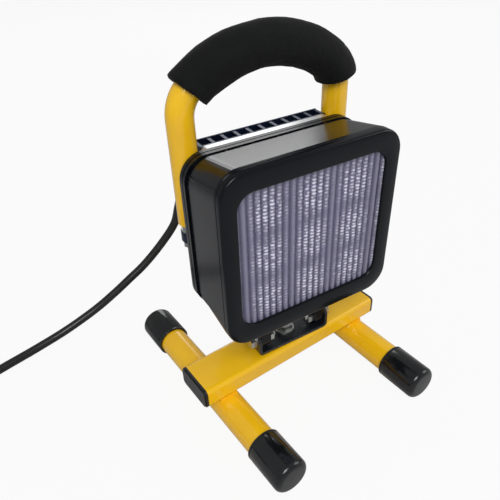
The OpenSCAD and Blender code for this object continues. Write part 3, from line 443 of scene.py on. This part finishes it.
def stage_floor():
    """A wide pale floor that keeps a faint shadow."""
    bm = bmesh.new()
    bmesh.ops.create_grid(bm, x_segments=1, y_segments=1, size=FLOOR_REACH)
    mesh = bpy.data.meshes.new("floor")
    bm.to_mesh(mesh)
    bm.free()
    floor = bpy.data.objects.new("floor", mesh)
    bpy.context.scene.collection.objects.link(floor)
    made = bpy.data.materials.new("floor_white")
    made.use_nodes = True
    tree = made.node_tree
    tree.nodes.clear()
    lit = add(tree, "ShaderNodeBsdfDiffuse", {"Color": (0.6, 0.6, 0.61, 1)})
    seen = seen_white(tree, lit.outputs["BSDF"], FLOOR_WHITE)
    add(tree, "ShaderNodeOutputMaterial", {"Surface": seen.outputs["Shader"]})
    mesh.materials.append(made)


def stage_lamp(name, place, size, power):
    """A square soft lamp at a place, aimed at the head."""
    lamp = bpy.data.objects.new(name, bpy.data.lights.new(name, "AREA"))
    lamp.data.shape = "SQUARE"
    lamp.data.size = size
    lamp.data.energy = power
    place = Vector(place)
    lamp.matrix_world = (Matrix.Translation(place)
                         @ (LAMPS_AIM - place).to_track_quat("-Z", "Y").to_matrix().to_4x4())
    bpy.context.scene.collection.objects.link(lamp)


def stage_world():
    """Even pale light all round, seen as white."""
    world = bpy.data.worlds.new("studio")
    bpy.context.scene.world = world
    world.use_nodes = True
    tree = world.node_tree
    tree.nodes.clear()
    rays = add(tree, "ShaderNodeLightPath")
    strength = add(tree, "ShaderNodeMapRange", {
        "Value": rays.outputs["Is Camera Ray"], "To Min": SKY, "To Max": 1.0})
    sky = add(tree, "ShaderNodeBackground", {"Color": (1, 1, 1, 1), "Strength": strength.outputs["Result"]})
    add(tree, "ShaderNodeOutputWorld", {"Surface": sky.outputs["Background"]})


class WORKLIGHT_OT_stage(bpy.types.Operator):
    """Sets up the camera, the floor and the lamps"""
    bl_idname = "worklight.stage"
    bl_label = "Stage"

    def execute(self, context):
        stage_camera(context.scene.work_light_sizes.camera_distance)
        stage_floor()
        stage_world()
        for lamp in LAMPS:
            stage_lamp(*lamp)
        context.scene.view_settings.view_transform = "Standard"
        return {"FINISHED"}


# ---- Lead ----

CORD = 8 * MM
GLAND_X, GLAND_Z = -10, 152
EXIT_Y = 90.3
COIL_AT = Vector((-284, 96, 0))
COIL_INNER, COIL_OUTER = 38, 46
COIL_LOW, COIL_HIGH, COIL_OVER = 4, 12, 20
COIL_STEPS = 24
# Part of each turn in which the lead moves over to the next row
MOVE = 0.2
# Places that the lead passes on its way from the strain relief to the coil, in millimetres
LEAD_ROUTE = [
    (-2, 121, 148.5), (-6, 131.5, 139), (-10, 136.5, 124), (-15, 138, 107), (-21, 139.5, 89.5), (-37, 141.5, 71.5),
    (-57, 143.5, 54.5), (-75, 145.5, 43), (-93, 148, 31.5), (-115, 151, 19.5), (-145, 153, 9),
    (-175, 151.5, 4.6), (-203, 147.5, 4), (-228, 143.5, 4), (-256, 142, 4)]
# From the top of the coil, in a quarter turn, to the plug's tail
LEAD_TO_PLUG = [(-296, 138.5, 21.5), (-306, 130.5, 23.5), (-312, 120, 24.4), (-314, 111, 24.5), (-314, 104, 24.5)]


def eased(t):
    """Goes from 0 to 1 with a soft start and end."""
    t = min(1, max(0, t))
    return t * t * (3 - 2 * t)


def coil_points():
    """Four turns: outside low, inside low, inside high and outside high, each moving over at its end."""
    rows = [(COIL_OUTER, COIL_LOW), (COIL_INNER, COIL_LOW), (COIL_INNER, COIL_HIGH), (COIL_OUTER, COIL_HIGH),
            (COIL_OUTER, COIL_OVER)]
    made = []
    for (r0, z0), (r1, z1) in zip(rows, rows[1:]):
        for i in range(COIL_STEPS):
            t = i / COIL_STEPS
            over = eased((t - (1 - MOVE)) / MOVE)
            a = math.pi / 2 + t * 2 * math.pi
            r = r0 + (r1 - r0) * over
            made.append(COIL_AT + Vector((r * math.cos(a), r * math.sin(a), z0 + (z1 - z0) * over)))
    return made


CURVE_STEPS = 12
LEAD_STEP = 4
# Step between the three places on the straight that the lead starts with
LEAD_AHEAD = 7


def smooth_line(points, step):
    """Even points along a smooth curve through the given ones, step apart."""
    ends = [2 * points[0] - points[1]] + points + [2 * points[-1] - points[-2]]
    fine = []
    for a, b, c, d in zip(ends, ends[1:], ends[2:], ends[3:]):
        for i in range(CURVE_STEPS):
            t = i / CURVE_STEPS
            fine.append(0.5 * (2 * b + (c - a) * t + (2 * a - 5 * b + 4 * c - d) * t * t
                               + (3 * b - a - 3 * c + d) * t ** 3))
    fine.append(points[-1])
    even, left = [fine[0]], step
    for a, b in zip(fine, fine[1:]):
        span = (b - a).length
        while span >= left:
            a = a + (b - a).normalized() * left
            even.append(a)
            span, left = (b - a).length, step
        left -= span
    return even


def lead_line():
    """The lead's centre line, in metres, from inside the strain relief to inside the plug."""
    turn = Matrix.Rotation(HEAD_TURN, 3, "Z")
    way = turn @ Vector((0, 1, 0))
    start = turn @ Vector((GLAND_X, EXIT_Y, GLAND_Z)) + SWIVEL / MM
    places = [start + way * LEAD_AHEAD * i for i in range(3)] + [Vector(p) for p in LEAD_ROUTE]
    places += coil_points() + [Vector(p) for p in LEAD_TO_PLUG]
    return [p * MM for p in smooth_line(places, LEAD_STEP)]


def tube_mesh(name, line, radius):
    """A round tube with closed ends along a line."""
    curve = bpy.data.curves.new(name, "CURVE")
    curve.dimensions = "3D"
    curve.bevel_depth = radius
    curve.bevel_resolution = 5
    curve.use_fill_caps = True
    spline = curve.splines.new("POLY")
    spline.points.add(len(line) - 1)
    for point, place in zip(spline.points, line):
        point.co = (*place, 1)
    drawn = bpy.data.objects.new(name, curve)
    bpy.context.scene.collection.objects.link(drawn)
    bpy.context.view_layer.update()
    mesh = bpy.data.meshes.new_from_object(drawn.evaluated_get(bpy.context.evaluated_depsgraph_get()))
    bpy.data.objects.remove(drawn)
    return mesh


class WORKLIGHT_OT_lead(bpy.types.Operator):
    """Lays the mains lead from the head to its coil and plug"""
    bl_idname = "worklight.lead"
    bl_label = "Mains lead"

    def execute(self, context):
        line = lead_line()
        bm = bmesh.new()
        bm.from_mesh(tube_mesh("lead_line", line, CORD / 2))
        lead = piece("mains_lead_cord", bm, None, "lead_rubber", ["mains_lead", "lead_coil"])
        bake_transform(lead)
        return {"FINISHED"}


PLUG_AT = Vector((-314, 0, 24.5)) * MM
# Width, height, corner radius and place along Y of each section of the plug, from its tail to its face
PLUG_SECTIONS = [
    (9.6, 9.6, 4.7, 112), (11.6, 11.6, 5.7, 111.4), (12, 12, 5.9, 108), (10.8, 10.8, 5.3, 107.6),
    (10.8, 10.8, 5.3, 106.4), (12.4, 12.4, 6.1, 106), (12.6, 12.6, 6.2, 103.6), (11.2, 11.2, 5.5, 103.2),
    (11.2, 11.2, 5.5, 102), (13, 13, 6.4, 101.6), (14, 13.6, 6.6, 98), (18, 14.4, 6.6, 95), (25, 15.6, 6.6, 92),
    (31, 16.4, 6.6, 89), (34.4, 16.9, 6.6, 86), (35.6, 17, 6.4, 82), (35.6, 17, 6.4, 80), (34.6, 16, 5.9, 79.4),
    (34.6, 16, 5.9, 78), (35.8, 17, 6.4, 77.4), (36, 17, 6.4, 74), (35, 16, 5.9, 73.4), (35, 16, 5.9, 72),
    (36, 17, 6.4, 71.4), (36, 17, 6.4, 61.2), (35.4, 16.4, 6.1, 60.4), (34, 15, 5.4, 60)]


class WORKLIGHT_OT_plug(bpy.types.Operator):
    """Moulds the two-pin plug with its finger grooves"""
    bl_idname = "worklight.plug"
    bl_label = "Plug"

    def execute(self, context):
        bm = bmesh.new()
        loft(bm, PLUG_SECTIONS, capped=True)
        piece("moulded_plug", bm, "bracket", "plug_rubber", ["plug_body"], Matrix.Translation(PLUG_AT))
        return {"FINISHED"}


# ---- Head ----

# Outer size of the lens, and the play round it
LENS_W, LENS_H = 126, 114
LENS_PLAY = 0.4
# Width, height, corner radius and place along Y of each section of the bezel, right round its profile
BEZEL_SECTIONS = [
    (142, 136, 18, -30.05), (142, 136, 18, -31.6), (141.2, 135.2, 17.6, -31.9), (141.2, 135.2, 17.6, -32.5),
    (142, 136, 18, -32.8), (142, 136, 18, -36.2), (141.6, 135.6, 17.8, -37), (140.6, 134.6, 17.3, -37.7),
    (139, 133, 16.5, -38), (120.6, 108.6, 13.2, -38), (119.4, 107.4, 12.7, -37.8), (118.4, 106.4, 12.2, -37),
    (WINDOW_W, WINDOW_H, WINDOW_R, -35.9), (LENS_W + LENS_PLAY, LENS_H + LENS_PLAY, 16.2, -35.85),
    (LENS_W + LENS_PLAY, LENS_H + LENS_PLAY, 16.2, -30.05)]


class WORKLIGHT_OT_bezel(bpy.types.Operator):
    """Casts the bezel that frames the lens"""
    bl_idname = "worklight.bezel"
    bl_label = "Bezel"

    def execute(self, context):
        bm = bmesh.new()
        loft(bm, BEZEL_SECTIONS, closed=True)
        piece("bezel", bm, "head", "housing_coat", ["front_bezel"], AT_HEAD)
        return {"FINISHED"}


# Faces of the lens along Y; half width, foot and top of its ribbed field; size of its cut corners
LENS_FRONT, LENS_BACK = -35.75, -31.75
RIB_SIDE, RIB_FOOT, RIB_TOP = 52, -38, 48
LENS_CORNER_CUT = 8
# Mesh points across each flute and each rib
FLUTE_POINTS, RIB_POINTS = 6, 4


def ridge(along, pitch, depth):
    """Height of a row of round ridges, one in every pitch."""
    return depth * (0.5 - 0.5 * math.cos(2 * math.pi * along / pitch))


class WORKLIGHT_OT_lens(bpy.types.Operator):
    """Presses the lens, with upright flutes in front and fine cross ribs on both faces"""
    bl_idname = "worklight.lens"
    bl_label = "Lens"

    def execute(self, context):
        sizes = context.scene.work_light_sizes
        flute = WINDOW_W * MM / sizes.flutes
        rib = (RIB_TOP - RIB_FOOT) * MM / sizes.ribs
        bm = bmesh.new()
        columns = round(LENS_W * MM / flute * FLUTE_POINTS)
        rows = round(LENS_H * MM / rib * RIB_POINTS)
        for y in (LENS_FRONT, LENS_BACK):
            sheet = bmesh.ops.create_grid(bm, x_segments=columns, y_segments=rows, size=0.5)["verts"]
            bmesh.ops.scale(bm, vec=(LENS_W * MM, LENS_H * MM, 1), verts=sheet)
            bmesh.ops.rotate(bm, cent=(0, 0, 0), matrix=Matrix.Rotation(math.pi / 2, 3, "X"), verts=sheet)
            bmesh.ops.translate(bm, vec=(0, y * MM, 0), verts=sheet)
            for vert in sheet:
                if y == LENS_FRONT:
                    vert.co.y += ridge(vert.co.x, flute, sizes.flute_depth)
                if abs(vert.co.x) < RIB_SIDE * MM and RIB_FOOT * MM < vert.co.z < RIB_TOP * MM:
                    vert.co.y += ridge(vert.co.z - RIB_FOOT * MM, rib, sizes.rib_depth)
        rims = [e for e in bm.edges if e.is_boundary]
        bmesh.ops.bridge_loops(bm, edges=rims)
        for sx in (-1, 1):
            for sz in (-1, 1):
                corner = Vector((sx * (LENS_W / 2 - LENS_CORNER_CUT), 0, sz * (LENS_H / 2))) * MM
                cut = bmesh.ops.bisect_plane(bm, geom=bm.verts[:] + bm.edges[:] + bm.faces[:], plane_co=corner,
                                             plane_no=(sx, 0, sz), clear_outer=True)
                edges = [g for g in cut["geom_cut"] if isinstance(g, bmesh.types.BMEdge)]
                bmesh.ops.edgenet_fill(bm, edges=edges)
        piece("pressed_lens", bm, "head", "lens_clear", ["lens"], AT_HEAD)
        return {"FINISHED"}


# Radii and places along Y of each bowl's two ends
BOWL_MOUTH, BOWL_THROAT = 16.2, 6.3
BOWL_FRONT, BOWL_BACK = -30.1, 11.7
BOWL_RINGS = 8
BOWL_SIDES = 24


class WORKLIGHT_OT_reflector(bpy.types.Operator):
    """Forms the nine reflector bowls and the plate that joins them"""
    bl_idname = "worklight.reflector"
    bl_label = "Reflector"

    def execute(self, context):
        bm = bmesh.new()
        for column in range(CELLS):
            for row in range(CELLS):
                middle = Vector(((column - 1) * CELL, 0, (row - 1) * CELL)) * MM
                rings = []
                for i in range(BOWL_RINGS + 1):
                    t = i / BOWL_RINGS
                    r = math.sqrt(BOWL_THROAT ** 2 + (BOWL_MOUTH ** 2 - BOWL_THROAT ** 2) * t)
                    ring = bmesh.ops.create_circle(bm, segments=BOWL_SIDES, radius=r * MM)["verts"]
                    bmesh.ops.rotate(bm, cent=(0, 0, 0), matrix=Matrix.Rotation(math.pi / 2, 3, "X"), verts=ring)
                    y = BOWL_BACK + (BOWL_FRONT - BOWL_BACK) * t
                    bmesh.ops.translate(bm, vec=middle + Vector((0, y * MM, 0)), verts=ring)
                    rings.append(list({e for v in ring for e in v.link_edges}))
                square = bmesh.ops.create_grid(bm, x_segments=BOWL_SIDES // 4, y_segments=BOWL_SIDES // 4,
                                               size=CELL * MM / 2)
                bmesh.ops.rotate(bm, cent=(0, 0, 0), matrix=Matrix.Rotation(math.pi / 2, 3, "X"),
                                 verts=square["verts"])
                bmesh.ops.translate(bm, vec=middle + Vector((0, BOWL_FRONT * MM, 0)), verts=square["verts"])
                faces = list({f for v in square["verts"] for f in v.link_faces})
                rim = list({e for f in faces for e in f.edges if len(e.link_faces) == 1})
                inside = list({v for v in square["verts"] if not v.is_boundary})
                bmesh.ops.delete(bm, geom=inside, context="VERTS")
                bmesh.ops.delete(bm, geom=[f for f in faces if f.is_valid], context="FACES_ONLY")
                rings.append([e for e in rim if e.is_valid])
                for near, far in zip(rings, rings[1:]):
                    bmesh.ops.bridge_loops(bm, edges=near + far)
        bmesh.ops.remove_doubles(bm, verts=bm.verts, dist=NEAR)
        piece("reflector_bowls", bm, "head", "reflector_metal", ["reflector"], AT_HEAD, smooth=True)
        return {"FINISHED"}


# ---- Heat sink ----

SINK_W, SINK_H, SINK_R = 104, 122, 3
# Places along Y of the spreader's two faces, the sink's back, and the channels' two ends
SPREADER_FRONT, SPREADER_BACK, SINK_END = 17, 23, 36
CHANNEL_FRONT, CHANNEL_BACK = 24.5, 35
# Thickness and number of the fins, and how far their ends lie inside the sink's
FIN, FINS = 2.4, 11
FIN_SHORT = 0.4
# How far the fins run into the walls that they join
FIN_IN = 0.1
SPREADER_EDGE = 0.3
SINK_SEAT = 0.05
# Foot, top, radius and front of the lugs that the handle stands on
LUG_LOW, LUG_HIGH = 150, 158
LUG_R = 8.5
LUG_FRONT = 25.55


def block(bm, low, high):
    """Adds a box between two corners, in millimetres."""
    low, high = Vector(low), Vector(high)
    made = bmesh.ops.create_cube(bm, size=1)["verts"]
    bmesh.ops.scale(bm, vec=(high - low) * MM, verts=made)
    bmesh.ops.translate(bm, vec=(low + high) / 2 * MM, verts=made)


class WORKLIGHT_OT_sink(bpy.types.Operator):
    """Extrudes the heat spreader and the channelled heat sink"""
    bl_idname = "worklight.sink"
    bl_label = "Heat sink"

    def execute(self, context):
        bm = bmesh.new()
        small = 2 * SPREADER_EDGE
        loft(bm, [(SINK_W - small, SINK_H - small, SINK_R, SPREADER_FRONT),
                  (SINK_W, SINK_H, SINK_R, SPREADER_FRONT + SPREADER_EDGE),
                  (SINK_W, SINK_H, SINK_R, SPREADER_BACK)], capped=True)
        piece("heat_spreader_block", bm, "head", "plate_aluminium", ["heat_spreader"], AT_HEAD)
        bm = bmesh.new()
        low, high = HEAD_Z - SINK_H / 2, HEAD_Z + SINK_H / 2
        side = SINK_W / 2
        block(bm, (-side, SPREADER_BACK + SINK_SEAT, low), (side, CHANNEL_FRONT, high))
        block(bm, (-side, CHANNEL_BACK, low), (side, SINK_END, high))
        pitch = (SINK_W - FIN) / (FINS - 1)
        for i in range(FINS):
            at = -side + i * pitch
            block(bm, (at, CHANNEL_FRONT - FIN_IN, low + FIN_SHORT),
                  (at + FIN, CHANNEL_BACK + FIN_IN, high - FIN_SHORT))
        for way in (-1, 1):
            ends = sorted((way * (side - 1), way * HANDLE_X))
            block(bm, (ends[0], LUG_FRONT, LUG_LOW), (ends[1], HANDLE_Y + LUG_R, LUG_HIGH))
            lug = bmesh.ops.create_cone(bm, cap_ends=True, segments=48, radius1=LUG_R * MM, radius2=LUG_R * MM,
                                        depth=(LUG_HIGH - LUG_LOW) * MM)["verts"]
            bmesh.ops.translate(bm, vec=Vector((way * HANDLE_X, HANDLE_Y, (LUG_LOW + LUG_HIGH) / 2)) * MM, verts=lug)
        piece("heat_sink_fins", bm, "head", "sink_anodised", ["heat_sink"], ON_HEAD)
        return {"FINISHED"}


# ---- Handle ----

HANDLE_Y, HANDLE_X = 27.1, 62.8
# Heights of the tube's feet and of the top of its straight legs
HANDLE_FOOT, HANDLE_STRAIGHT = 164.6, 241
CORNER_R, CROWN_R = 25, 90
HANDLE_TURN = math.asin((HANDLE_X - CORNER_R) / (CROWN_R - CORNER_R))
CROWN_Z = HANDLE_STRAIGHT - (CROWN_R - CORNER_R) * math.cos(HANDLE_TURN)
TUBE_OUT, TUBE_IN = 9.5, 8
GRIP_OUT, GRIP_IN = 15, 9.7
# Where the grip ends on the left and right corners, as angles from +X
GRIP_LEFT, GRIP_RIGHT = math.radians(136), math.radians(12)
GRIP_EDGE = 2.2
# Size of the foam's dents, and the part of them that goes inwards
DENT, DENT_IN = 14, 0.4
TUBE_SIDES, GRIP_SIDES = 40, 72
BEND_STEPS, CROWN_STEPS = 12, 20


def handle_bends(left, right):
    """The handle's three bends between two angles, each as its centre's x and z, its angle and its steps."""
    reach = HANDLE_X - CORNER_R
    return [(-reach, HANDLE_STRAIGHT, left - math.pi / 2 - HANDLE_TURN, BEND_STEPS),
            (0, CROWN_Z, 2 * HANDLE_TURN, CROWN_STEPS),
            (reach, HANDLE_STRAIGHT, math.pi / 2 - HANDLE_TURN - right, BEND_STEPS)]


def handle_skin(bm, radius, sides, left=math.pi, right=0.0, drop=0.0):
    """Sweeps a circle up the left leg by drop, through the bends and down the right leg; returns its end loops."""
    ring = bmesh.ops.create_circle(bm, segments=sides, radius=radius * MM)["verts"]
    bmesh.ops.translate(bm, vec=Vector((-CORNER_R, HANDLE_Y, 0)) * MM, verts=ring)
    bmesh.ops.rotate(bm, cent=(0, HANDLE_Y * MM, 0), matrix=Matrix.Rotation(math.pi - left, 3, "Y"), verts=ring)
    bmesh.ops.translate(bm, vec=Vector((CORNER_R - HANDLE_X, 0, HANDLE_STRAIGHT - drop)) * MM, verts=ring)
    first = list({e for v in ring for e in v.link_edges})
    edges = rise(bm, first, drop) if drop else first
    for x, z, angle, steps in handle_bends(left, right):
        made = bmesh.ops.spin(bm, geom=edges + list({v for e in edges for v in e.verts}),
                              cent=Vector((x, HANDLE_Y, z)) * MM, axis=(0, 1, 0), angle=angle, steps=steps,
                              use_merge=False, use_duplicate=False)
        edges = [g for g in made["geom_last"] if isinstance(g, bmesh.types.BMEdge)]
    return first, rise(bm, edges, -drop) if drop else edges


def rise(bm, edges, height, steps=4):
    """Extrudes a loop of edges straight up, or down, in equal steps."""
    for _ in range(steps):
        made = bmesh.ops.extrude_edge_only(bm, edges=edges)["geom"]
        edges = [g for g in made if isinstance(g, bmesh.types.BMEdge)]
        edges = [e for e in edges if len(e.link_faces) == 1]
        verts = list({v for e in edges for v in e.verts})
        bmesh.ops.translate(bm, vec=(0, 0, height * MM / steps), verts=verts)
    return edges


def handle_shell(bm, outer, inner, sides, *ends):
    """A pipe in the handle's form with closed ends between its two skins."""
    outside = handle_skin(bm, outer, sides, *ends)
    inside = handle_skin(bm, inner, sides, *ends)
    for near, far in zip(outside, inside):
        bmesh.ops.bridge_loops(bm, edges=near + far)
    return outside


class WORKLIGHT_OT_handle(bpy.types.Operator):
    """Bends the handle's steel tube"""
    bl_idname = "worklight.handle"
    bl_label = "Handle tube"

    def execute(self, context):
        bm = bmesh.new()
        handle_shell(bm, TUBE_OUT, TUBE_IN, TUBE_SIDES, math.pi, 0.0, HANDLE_STRAIGHT - HANDLE_FOOT)
        piece("handle_pipe", bm, "head", "yellow_paint", ["handle_tube"], ON_HEAD)
        return {"FINISHED"}


class WORKLIGHT_OT_grip(bpy.types.Operator):
    """Shapes the foam sleeve over the crown of the handle"""
    bl_idname = "worklight.grip"
    bl_label = "Foam grip"

    def execute(self, context):
        dents = context.scene.work_light_sizes.foam_dents
        bm = bmesh.new()
        outside = handle_shell(bm, GRIP_OUT, GRIP_IN, GRIP_SIDES, GRIP_LEFT, GRIP_RIGHT)
        bmesh.ops.bevel(bm, geom=list(outside[0]) + list(outside[1]), offset=GRIP_EDGE * MM,
                        offset_type="OFFSET", segments=5, profile=0.5, affect="EDGES", material=-1)
        for vert in bm.verts:
            lump = noise.fractal(vert.co * per(DENT), 0.6, 2.0, 3)
            vert.co += vert.normal * dents * (lump - DENT_IN)
        grip = piece("foam_grip", bm, "head", "foam", ["grip"], ON_HEAD)
        return {"FINISHED"}


# ---- Stand ----

LEG_X, LEG_Z, LEG_END = 70, 14.55, 105
CAP_R, CAP_BORE, CAP_LEN, CAP_WALL = 14.5, 12.55, 36, 3
# Rounding of each cap's closed end and of its lip
CAP_NOSE, CAP_LIP = 4.5, 0.6
# Depth of the groove by the lip, and the heights at which it starts, is full, stays full and ends
CAP_GROOVE, GROOVE_AT = 0.35, (3, 2.4, 1.8, 1.2)
CAP_NAMES = {(-1, -1): "front_left", (1, -1): "front_right", (-1, 1): "rear_left", (1, 1): "rear_right"}


class WORKLIGHT_OT_caps(bpy.types.Operator):
    """Dips the four leg caps, each with a rounded end and a rolled lip"""
    bl_idname = "worklight.caps"
    bl_label = "Leg caps"

    def execute(self, context):
        for (side, way), name in CAP_NAMES.items():
            bm = bmesh.new()
            turned(bm, [(p[0] * MM, p[1] * MM) for p in [
                (0, CAP_LEN), (CAP_R, CAP_LEN), (CAP_R, GROOVE_AT[0]), (CAP_R - CAP_GROOVE, GROOVE_AT[1]),
                (CAP_R - CAP_GROOVE, GROOVE_AT[2]), (CAP_R, GROOVE_AT[3]), (CAP_R, 0), (CAP_BORE, 0),
                (CAP_BORE, CAP_LEN - CAP_WALL), (0, CAP_LEN - CAP_WALL)]])
            soften(bm, lambda v: abs(v.z - CAP_LEN * MM) < NEAR and v.xy.length > CAP_R * MM * 0.9,
                   CAP_NOSE, 8)
            soften(bm, lambda v: abs(v.z) < NEAR, CAP_LIP, 3)
            place = (Matrix.Translation(Vector((side * LEG_X, way * (LEG_END - CAP_LEN), LEG_Z)) * MM)
                     @ Matrix.Rotation(-math.pi / 2 * way, 4, "X"))
            piece("cap_" + name, bm, "stand", "cap_pvc", ["cap_" + name], place)
        return {"FINISHED"}


def soften(bm, wanted, radius, steps):
    """Rounds the edges whose two ends are both wanted."""
    edges = [e for e in bm.edges if all(wanted(v.co) for v in e.verts)]
    bmesh.ops.bevel(bm, geom=edges, offset=radius * MM, offset_type="OFFSET", segments=steps, profile=0.5,
                    affect="EDGES", material=-1, clamp_overlap=True)


class WORKLIGHT_OT_finishes(bpy.types.Operator):
    """Gives every CAD node that still shows its finish"""
    bl_idname = "worklight.finishes"
    bl_label = "Finishes"

    def execute(self, context):
        for part in frame["record"]["subparts"]:
            mesh = nodes[part["node"]].data
            mesh.materials.clear()
            mesh.materials.append(material(part["material_slot"]))
        return {"FINISHED"}


# ---- Panel ----

STEPS = [WORKLIGHT_OT_stage, WORKLIGHT_OT_finishes, WORKLIGHT_OT_plug, WORKLIGHT_OT_lead, WORKLIGHT_OT_caps,
         WORKLIGHT_OT_handle, WORKLIGHT_OT_grip, WORKLIGHT_OT_bezel, WORKLIGHT_OT_lens, WORKLIGHT_OT_reflector,
         WORKLIGHT_OT_sink]


class WORKLIGHT_PT_panel(bpy.types.Panel):
    """Lists the sizes, the colours and the pieces"""
    bl_idname = "WORKLIGHT_PT_panel"
    bl_label = "Work Light"
    bl_space_type = "VIEW_3D"
    bl_region_type = "UI"
    bl_category = "Work Light"

    def draw(self, context):
        for group in (context.scene.work_light_sizes, context.scene.work_light_colours):
            for name in group.__annotations__:
                self.layout.prop(group, name)
        for step in STEPS:
            self.layout.operator(step.bl_idname)


CLASSES = [WorkLightSizes, WorkLightColours, *STEPS, WORKLIGHT_PT_panel]


def register():
    for made in CLASSES:
        bpy.utils.register_class(made)
    bpy.types.Scene.work_light_sizes = PointerProperty(type=WorkLightSizes)
    bpy.types.Scene.work_light_colours = PointerProperty(type=WorkLightColours)


def unregister():
    del bpy.types.Scene.work_light_colours
    del bpy.types.Scene.work_light_sizes
    for made in reversed(CLASSES):
        bpy.utils.unregister_class(made)


def main():
    register()
    for step in STEPS:
        group, name = step.bl_idname.split(".")
        getattr(getattr(bpy.ops, group), name)()


if __name__ == "__main__":
    main()
